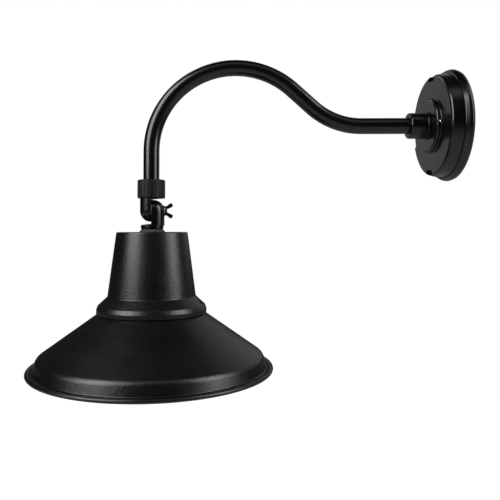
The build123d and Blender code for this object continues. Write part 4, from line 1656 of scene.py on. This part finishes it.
class Housing(SubAssembly):
    """Tapered can with its skirt and the gasket on top."""

    body = Body.HEAD
    title = "housing"
    can_segments = 256
    gasket_segments = 96
    pocket_segments = 48

    def __init__(self, paint: Paintbox, sizes: HousingSizes = HousingSizes()) -> None:
        """Keep the sizes."""
        super().__init__(paint)
        self.s = sizes

    def _pocket_cutter(self, angle: float) -> bpy.types.Object:
        """Pocket of a shade screw in the skirt.

        Args:
            angle: Degrees about the lamp's axis.

        Returns:
            The cutter.
        """
        s = self.s
        corners = [(0, s.pocket_z, 0), (s.pocket_r, s.pocket_z, 0.5),
                   (s.pocket_r, s.foot_z, 0), (0, s.foot_z, 0)]
        axis = upright_axis(*on_circle(s.screw_circle, angle, (0, LAMP_Y)))
        profile = rounded(corners, closed=False)
        return turned("pocket_cutter", profile, axis, self.pocket_segments, closed=False)

    def can(self) -> None:
        """The can, its skirt and the band, with two screw pockets."""
        s = self.s
        inner = s.base_r - s.wall
        roof_z = s.top_z - s.top_wall
        profile = rounded(
            [
                (s.stem_hole_r, s.top_z, 0.3),
                (s.top_r, s.top_z, s.rounding),
                (s.base_r, s.foot_z, 1.6),
                (s.skirt_r, s.skirt_z, 1.2),
                (s.band_r, s.band_widest_z, 3.4),
                (s.band_foot_r, s.band_foot_z, 0.7),
                (s.band_inner_r, s.band_foot_z, 0.4),
                (s.band_inner_r, s.seat_z, 0.3),
                (inner, s.seat_z, 0.3),
                (inner, s.foot_z, 1.0),
                (s.top_inner_r, roof_z, 2.0),
                (s.stem_hole_r, roof_z, 0.3),
            ],
            steps=8,
        )
        piece = turned("housing_can", profile, LAMP_AXIS, self.can_segments)
        carve(piece, [self._pocket_cutter(angle) for angle in s.screw_angles])
        self.settle(piece, Slot.TEXTURED_BLACK, "housing")

    def gasket(self) -> None:
        """Cone-shaped gasket between the knuckle's foot and the can."""
        s = self.s
        profile = rounded(
            [
                (s.stem_hole_r, s.top_z, 0),
                (s.gasket_foot_r, s.top_z, 0.5),
                (s.gasket_lip_r, s.top_z + s.gasket_lip_h, 0.4),
                (s.gasket_top_r, s.gasket_top_z, 0.4),
                (s.stem_hole_r, s.gasket_top_z, 0),
            ]
        )
        piece = turned("neck_gasket_cone", profile, LAMP_AXIS, self.gasket_segments)
        self.settle(piece, Slot.BLACK_RUBBER, "neck_gasket")

    def build(self) -> None:
        """Make the can and the gasket, and keep the nut inside."""
        self.can()
        self.gasket()
        self.carry("stem_washer", Slot.ZINC_STEEL)
        self.carry("stem_locknut", Slot.ZINC_STEEL)


# ---------------------------------------------------------------- light engine


@dataclass(frozen=True)
class LightSizes:
    """Sizes of the reflector, the lens and its ring, in millimetres and degrees."""

    plate_z: float = -222.1
    reflector_top_r: float = 38.0
    reflector_foot_r: float = 44.2
    reflector_wall: float = 1.0
    gasket_z: float = -234.1
    lens_z: float = -235.1
    lens_r: float = 47.4
    lip_z: float = -237.6
    ring_z: float = -239.8
    ring_r: float = 52.0
    ring_wall_r: float = 47.8
    ring_lip_r: float = 44.6
    screw_circle: float = 49.9
    screw_angles: tuple[float, ...] = (-90.0, 30.0, 150.0)
    screw_head_r: float = 1.88
    screw_head_h: float = 1.6


class LightEngine(SubAssembly):
    """Driver, board, reflector, lens and the ring that holds them."""

    body = Body.HEAD
    title = "light engine"
    bore_past = 2.0          # how far the counterbores' cutters stand out of the ring
    lens_segments = 160
    ring_segments = 192
    bore_segments = 40

    def __init__(self, paint: Paintbox, sizes: LightSizes = LightSizes()) -> None:
        """Keep the sizes."""
        super().__init__(paint)
        self.s = sizes

    def lens(self) -> None:
        """Frosted lens with softened edges."""
        s = self.s
        corners = [(0, s.lip_z, 0), (s.lens_r, s.lip_z, 0.4), (s.lens_r, s.lens_z, 0.4), (0, s.lens_z, 0)]
        profile = rounded(corners, closed=False, steps=4)
        piece = turned("lens_disc", profile, LAMP_AXIS, self.lens_segments, closed=False)
        self.settle(piece, Slot.FROSTED_LENS, "lens")

    def _bore_cutter(self, angle: float) -> bpy.types.Object:
        """Counterbore of a screw in the ring.

        Args:
            angle: Degrees about the lamp's axis.

        Returns:
            The cutter.
        """
        s = self.s
        low, high = s.ring_z - self.bore_past, s.ring_z + s.screw_head_h
        axis = upright_axis(*on_circle(s.screw_circle, angle, (0, LAMP_Y)))
        profile = [(0, low), (s.screw_head_r, low), (s.screw_head_r, high), (0, high)]
        return turned("screw_cutter", profile, axis, self.bore_segments, closed=False)

    def ring(self) -> None:
        """Ring that clamps the lens, with three counterbored screws."""
        s = self.s
        profile = rounded(
            [
                (s.ring_lip_r, s.ring_z, 0.5),
                (s.ring_r, s.ring_z, 0.8),
                (s.ring_r, s.plate_z, 0.3),
                (s.ring_wall_r, s.plate_z, 0),
                (s.ring_wall_r, s.lip_z, 0),
                (s.ring_lip_r, s.lip_z, 0.3),
            ]
        )
        piece = turned("lens_ring_body", profile, LAMP_AXIS, self.ring_segments)
        carve(piece, [self._bore_cutter(angle) for angle in s.screw_angles])
        self.settle(piece, Slot.TEXTURED_BLACK, "lens_ring")

    def reflector(self) -> None:
        """White cone between the board and the lens."""
        s = self.s
        wall, flange_z = s.reflector_wall, s.gasket_z + s.reflector_wall
        profile = rounded(
            [
                (s.reflector_top_r, s.plate_z, 0.2),
                (s.reflector_top_r + wall, s.plate_z, 0.2),
                (s.reflector_foot_r + wall, flange_z, 0.6),
                (s.lens_r, flange_z, 0.2),
                (s.lens_r, s.gasket_z, 0.2),
                (s.reflector_foot_r, s.gasket_z, 0.5),
            ]
        )
        piece = turned("reflector_cone", profile, LAMP_AXIS, self.lens_segments)
        self.settle(piece, Slot.WHITE_REFLECTOR, "reflector")

    def build(self) -> None:
        """Make the visible pieces and keep the ones inside."""
        self.lens()
        self.ring()
        self.reflector()
        self.carry("lens_gasket", Slot.CLEAR_SILICONE)
        self.carry("heat_spreader", Slot.BARE_ALUMINIUM)
        self.carry("spreader_screws", Slot.ZINC_STEEL)
        self.carry("driver", Slot.WHITE_PLASTIC)
        self.carry("driver_screws", Slot.ZINC_STEEL)
        self.carry("led_board", Slot.WHITE_BOARD)
        self.carry("led_chips", Slot.YELLOW_PHOSPHOR)
        self.carry("board_screws", Slot.ZINC_STEEL)
        self.carry("lens_ring_screws", Slot.BLACK_SCREW)


# ---------------------------------------------------------------- shade


@dataclass(frozen=True)
class ShadeSizes:
    """Sizes of the shade, in millimetres and degrees."""

    seat_z: float = -232.1
    rim_z: float = -304.3
    rim_r: float = 152.4
    bead_r: float = 2.5
    bead_turn: float = 300.0       # how far the rolled bead goes round
    wall: float = 1.2
    seat_inner_r: float = 54.5
    seat_outer_r: float = 66.9
    cone_z: float = -237.4
    shoulder_r: float = 140.4
    shoulder_z: float = -288.8
    shoulder_round: float = 10.0
    skirt_r: float = 144.0
    skirt_z: float = -302.3
    web_z: float = -302.9


class Shade(SubAssembly):
    """Spun cone with a short skirt and a rolled rim."""

    body = Body.HEAD
    title = "shade"
    cone_segments = 320
    bead_steps = 24

    def __init__(self, paint: Paintbox, sizes: ShadeSizes = ShadeSizes()) -> None:
        """Keep the sizes."""
        super().__init__(paint)
        self.s = sizes

    def _outside(self, bead_middle: float) -> list[Point2]:
        """Outer line of the shade, from its seat to the rim.

        Args:
            bead_middle: Radius of the bead's middle.

        Returns:
            Its points.
        """
        s = self.s
        corners = [
            (s.seat_inner_r, s.seat_z, 0),
            (s.seat_outer_r, s.seat_z, 1.6),
            (s.seat_outer_r, s.cone_z, 1.6),
            (s.shoulder_r, s.shoulder_z, s.shoulder_round),
            (s.skirt_r, s.skirt_z, 1.2),
            (bead_middle - s.wall, s.web_z, 0),
        ]
        return rounded(corners, closed=False, steps=10)

    def _offset(self, line: list[Point2]) -> list[Point2]:
        """Inner line of the sheet, one wall inside its outer line.

        Args:
            line: The outer line.

        Returns:
            The inner line.
        """
        inner: list[Point2] = []
        for i, (r, h) in enumerate(line):
            along = Vector(line[min(i + 1, len(line) - 1)]) - Vector(line[max(i - 1, 0)])
            along.normalize()
            inner.append((r + along.y * self.s.wall, h - along.x * self.s.wall))
        return inner

    def build(self) -> None:
        """Make the shade."""
        s = self.s
        middle = s.rim_r - s.bead_r
        start = s.bead_turn / 2
        bead = [on_circle(s.bead_r, start - s.bead_turn * k / self.bead_steps, (middle, s.rim_z))
                for k in range(self.bead_steps + 1)]
        outside = self._outside(middle)
        profile = outside + bead + self._offset(outside)[::-1]
        piece = turned("shade_cone", profile, LAMP_AXIS, self.cone_segments)
        self.settle(piece, Slot.TEXTURED_BLACK, "shade")
        self.carry("shade_screws", Slot.BLACK_SCREW)


# ---------------------------------------------------------------- studio


@dataclass(frozen=True)
class Softbox:
    """A rectangular lamp.

    Args:
        name: Name of the lamp.
        azimuth: Degrees from +X towards +Y as seen from above.
        height: Elevation in degrees above the object's middle.
        distance: Metres from the object's middle.
        size: Width and height in metres.
        power: Watts.
    """

    name: str
    azimuth: float
    height: float
    distance: float
    size: Point2
    power: float

    def place(self, middle: Vector) -> None:
        """Make the lamp and point it at the object's middle.

        Args:
            middle: Middle of the object.
        """
        data = bpy.data.lights.new(self.name, "AREA")
        data.shape = "RECTANGLE"
        data.size, data.size_y = self.size
        data.energy = self.power
        lamp = bpy.data.objects.new(self.name, data)
        a, e = math.radians(self.azimuth), math.radians(self.height)
        away = Vector((math.cos(a) * math.cos(e), math.sin(a) * math.cos(e), math.sin(e)))
        lamp.location = middle + away * self.distance
        lamp.rotation_mode = "QUATERNION"
        lamp.rotation_quaternion = away.to_track_quat("Z", "Y")
        lamp.visible_camera = False
        bpy.context.scene.collection.objects.link(lamp)


@dataclass(frozen=True)
class PhotoCamera:
    """Camera at the photo's viewing angle.

    Args:
        place: Its place, in metres.
        yaw: Turn to the left of -X, in radians.
        pitch: Tilt below the level, in radians.
        roll: Turn about the view, in radians.
        lens: Focal length, in millimetres.
        sensor: Width of the sensor, in millimetres.
        shift: Shift across and up, in sensor widths.
        clip_start: Nearest distance that it sees, in metres.
    """

    place: Point3 = (0.7102, -0.30485, -0.13742)
    yaw: float = -0.0022
    pitch: float = -0.0593
    roll: float = -0.0029
    lens: float = 39.906
    sensor: float = 36.0
    shift: Point2 = (0.068, -0.100)
    clip_start: float = 0.02

    def shoot(self) -> None:
        """Make the camera and let the scene use it."""
        data = bpy.data.cameras.new("photo_camera")
        data.lens = self.lens
        data.sensor_width = self.sensor
        data.shift_x, data.shift_y = self.shift
        data.clip_start = self.clip_start
        camera = bpy.data.objects.new("photo_camera", data)
        level = math.cos(self.pitch)
        forward = Vector((-math.cos(self.yaw) * level, -math.sin(self.yaw) * level, -math.sin(self.pitch)))
        right = Vector((-math.sin(self.yaw), math.cos(self.yaw), 0))
        up = right.cross(forward)
        across = right * math.cos(self.roll) + up * math.sin(self.roll)
        over = up * math.cos(self.roll) - right * math.sin(self.roll)
        turn = Matrix((across, over, -forward)).transposed()
        camera.matrix_world = Matrix.Translation(Vector(self.place)) @ turn.to_4x4()
        bpy.context.scene.collection.objects.link(camera)
        bpy.context.scene.camera = camera


class Studio:
    """Floor, background, lamps and camera, in metres."""

    softboxes: tuple[Softbox, ...] = (
        Softbox("left_box", azimuth=-54.0, height=31.0, distance=1.8, size=(1.2, 1.6), power=42.0),
        Softbox("right_box", azimuth=70.0, height=26.0, distance=1.8, size=(0.9, 1.5), power=26.0),
        Softbox("top_box", azimuth=15.0, height=60.0, distance=1.8, size=(1.5, 0.6), power=1.7),
        Softbox("back_right_box", azimuth=140.0, height=26.0, distance=1.8, size=(1.6, 1.7), power=3.0),
        Softbox("back_left_box", azimuth=-155.0, height=44.0, distance=1.8, size=(0.7, 1.0), power=2.4),
        Softbox("plate_panel", azimuth=-170.0, height=16.0, distance=1.16, size=(0.6, 0.7), power=0.46),
    )
    object_middle: Point3 = (0, -0.27, -0.12)
    centre_y: float = -0.3
    ring_points: int = 64
    floor_z: float = -0.80
    floor_radii: tuple[float, ...] = (0.0, 0.5, 1.0, 2.0, 4.0, 9.0)
    curtain_r: float = 3.4
    curtain_heights: tuple[float, ...] = (floor_z, 0.8, 2.4, 4.0)
    canopy_share: float = 0.3
    canopy_z: float = 4.1
    peak_share: float = 0.003
    peak_z: float = 4.141
    table_radii: tuple[float, ...] = (0.0, 1.0, curtain_r)
    table_z: float = floor_z + 0.004
    cloth_rough: Point2 = (0.85, 0.95)
    cloth_scale: float = 90.0
    world_level: float = 0.45

    def __init__(self, camera: PhotoCamera = PhotoCamera()) -> None:
        """Keep the camera."""
        self.camera = camera

    def _circle(self, radius: float, z: float) -> Loop:
        """Ring of points round the set's middle."""
        spokes = [(math.cos(a), math.sin(a)) for a in turns(self.ring_points)]
        return [Vector((radius * c, radius * n + self.centre_y, z)) for c, n in spokes]

    def _sheet(self, name: str, loops: Sequence[Loop], material: bpy.types.Material) -> bpy.types.Object:
        """Open sheet of the set through rings of points.

        Args:
            name: Name of the sheet.
            loops: Its rings.
            material: Its material.

        Returns:
            The sheet.
        """
        draft = MeshDraft()
        draft.skin(loops, caps=False)
        sheet = draft.build(name)
        sheet.data.materials.append(material)
        return sheet

    def floor(self) -> None:
        """Pale floor that keeps the object's shadow."""
        loops = [self._circle(radius, self.floor_z) for radius in self.floor_radii]
        self._sheet("floor", loops, PaleFloor().build())

    def reflected_set(self) -> None:
        """Dark curtain with a closed top and a grey table, which show in reflections alone."""
        dark = Moulded("curtain_cloth", (0.03, 0.03, 0.03), self.cloth_rough, self.cloth_scale)
        wall = [self._circle(self.curtain_r, z) for z in self.curtain_heights]
        wall.append(self._circle(self.curtain_r * self.canopy_share, self.canopy_z))
        wall.append(self._circle(self.curtain_r * self.peak_share, self.peak_z))
        grey = Moulded("table_cloth", (0.38, 0.38, 0.38), self.cloth_rough, self.cloth_scale)
        table = [self._circle(radius, self.table_z) for radius in self.table_radii]
        for name, loops, cloth in (("curtain", wall, dark), ("table_top", table, grey)):
            sheet = self._sheet(name, loops, cloth.build())
            sheet.visible_camera = False
            sheet.visible_diffuse = False
            sheet.visible_transmission = False
            sheet.visible_shadow = False

    def world(self) -> None:
        """Plain light all round, and a white background for camera, glossy and transmission rays."""
        world = bpy.data.worlds.new("studio")
        world.use_nodes = True
        nodes, link = world.node_tree.nodes, world.node_tree.links.new
        plain, white = nodes["Background"], nodes.new("ShaderNodeBackground")
        for background, strength in ((plain, self.world_level), (white, 1.0)):
            background.inputs["Color"].default_value = (1.0, 1.0, 1.0, 1.0)
            background.inputs["Strength"].default_value = strength
        ray = nodes.new("ShaderNodeLightPath")
        seen = ray.outputs["Is Camera Ray"]
        for kind in ("Is Glossy Ray", "Is Transmission Ray"):
            either = nodes.new("ShaderNodeMath")
            either.operation = "MAXIMUM"
            link(seen, either.inputs[0])
            link(ray.outputs[kind], either.inputs[1])
            seen = either.outputs[0]
        mix = nodes.new("ShaderNodeMixShader")
        link(seen, mix.inputs["Fac"])
        link(plain.outputs["Background"], mix.inputs[1])
        link(white.outputs["Background"], mix.inputs[2])
        link(mix.outputs["Shader"], nodes["World Output"].inputs["Surface"])
        bpy.context.scene.world = world

    def build(self) -> None:
        """Set the whole studio."""
        bpy.context.scene.view_settings.view_transform = "Standard"
        self.floor()
        self.reflected_set()
        self.world()
        for box in self.softboxes:
            box.place(Vector(self.object_middle))
        self.camera.shoot()
        LOG.info("studio: %d softboxes", len(self.softboxes))


def main() -> None:
    """Build the sconce from the wall outwards, then the studio."""
    logging.basicConfig(level=logging.INFO, format="%(name)s %(message)s")
    paint = Paintbox()
    WallMount(paint).build()
    Arm(paint).build()
    Collar(paint).build()
    KnuckleHalf(paint, KnuckleSide.UPPER).build()
    KnuckleHalf(paint, KnuckleSide.LOWER).build()
    WingScrew(paint).build()
    Housing(paint).build()
    LightEngine(paint).build()
    Shade(paint).build()
    Studio().build()


if __name__ == "__main__":
    main()
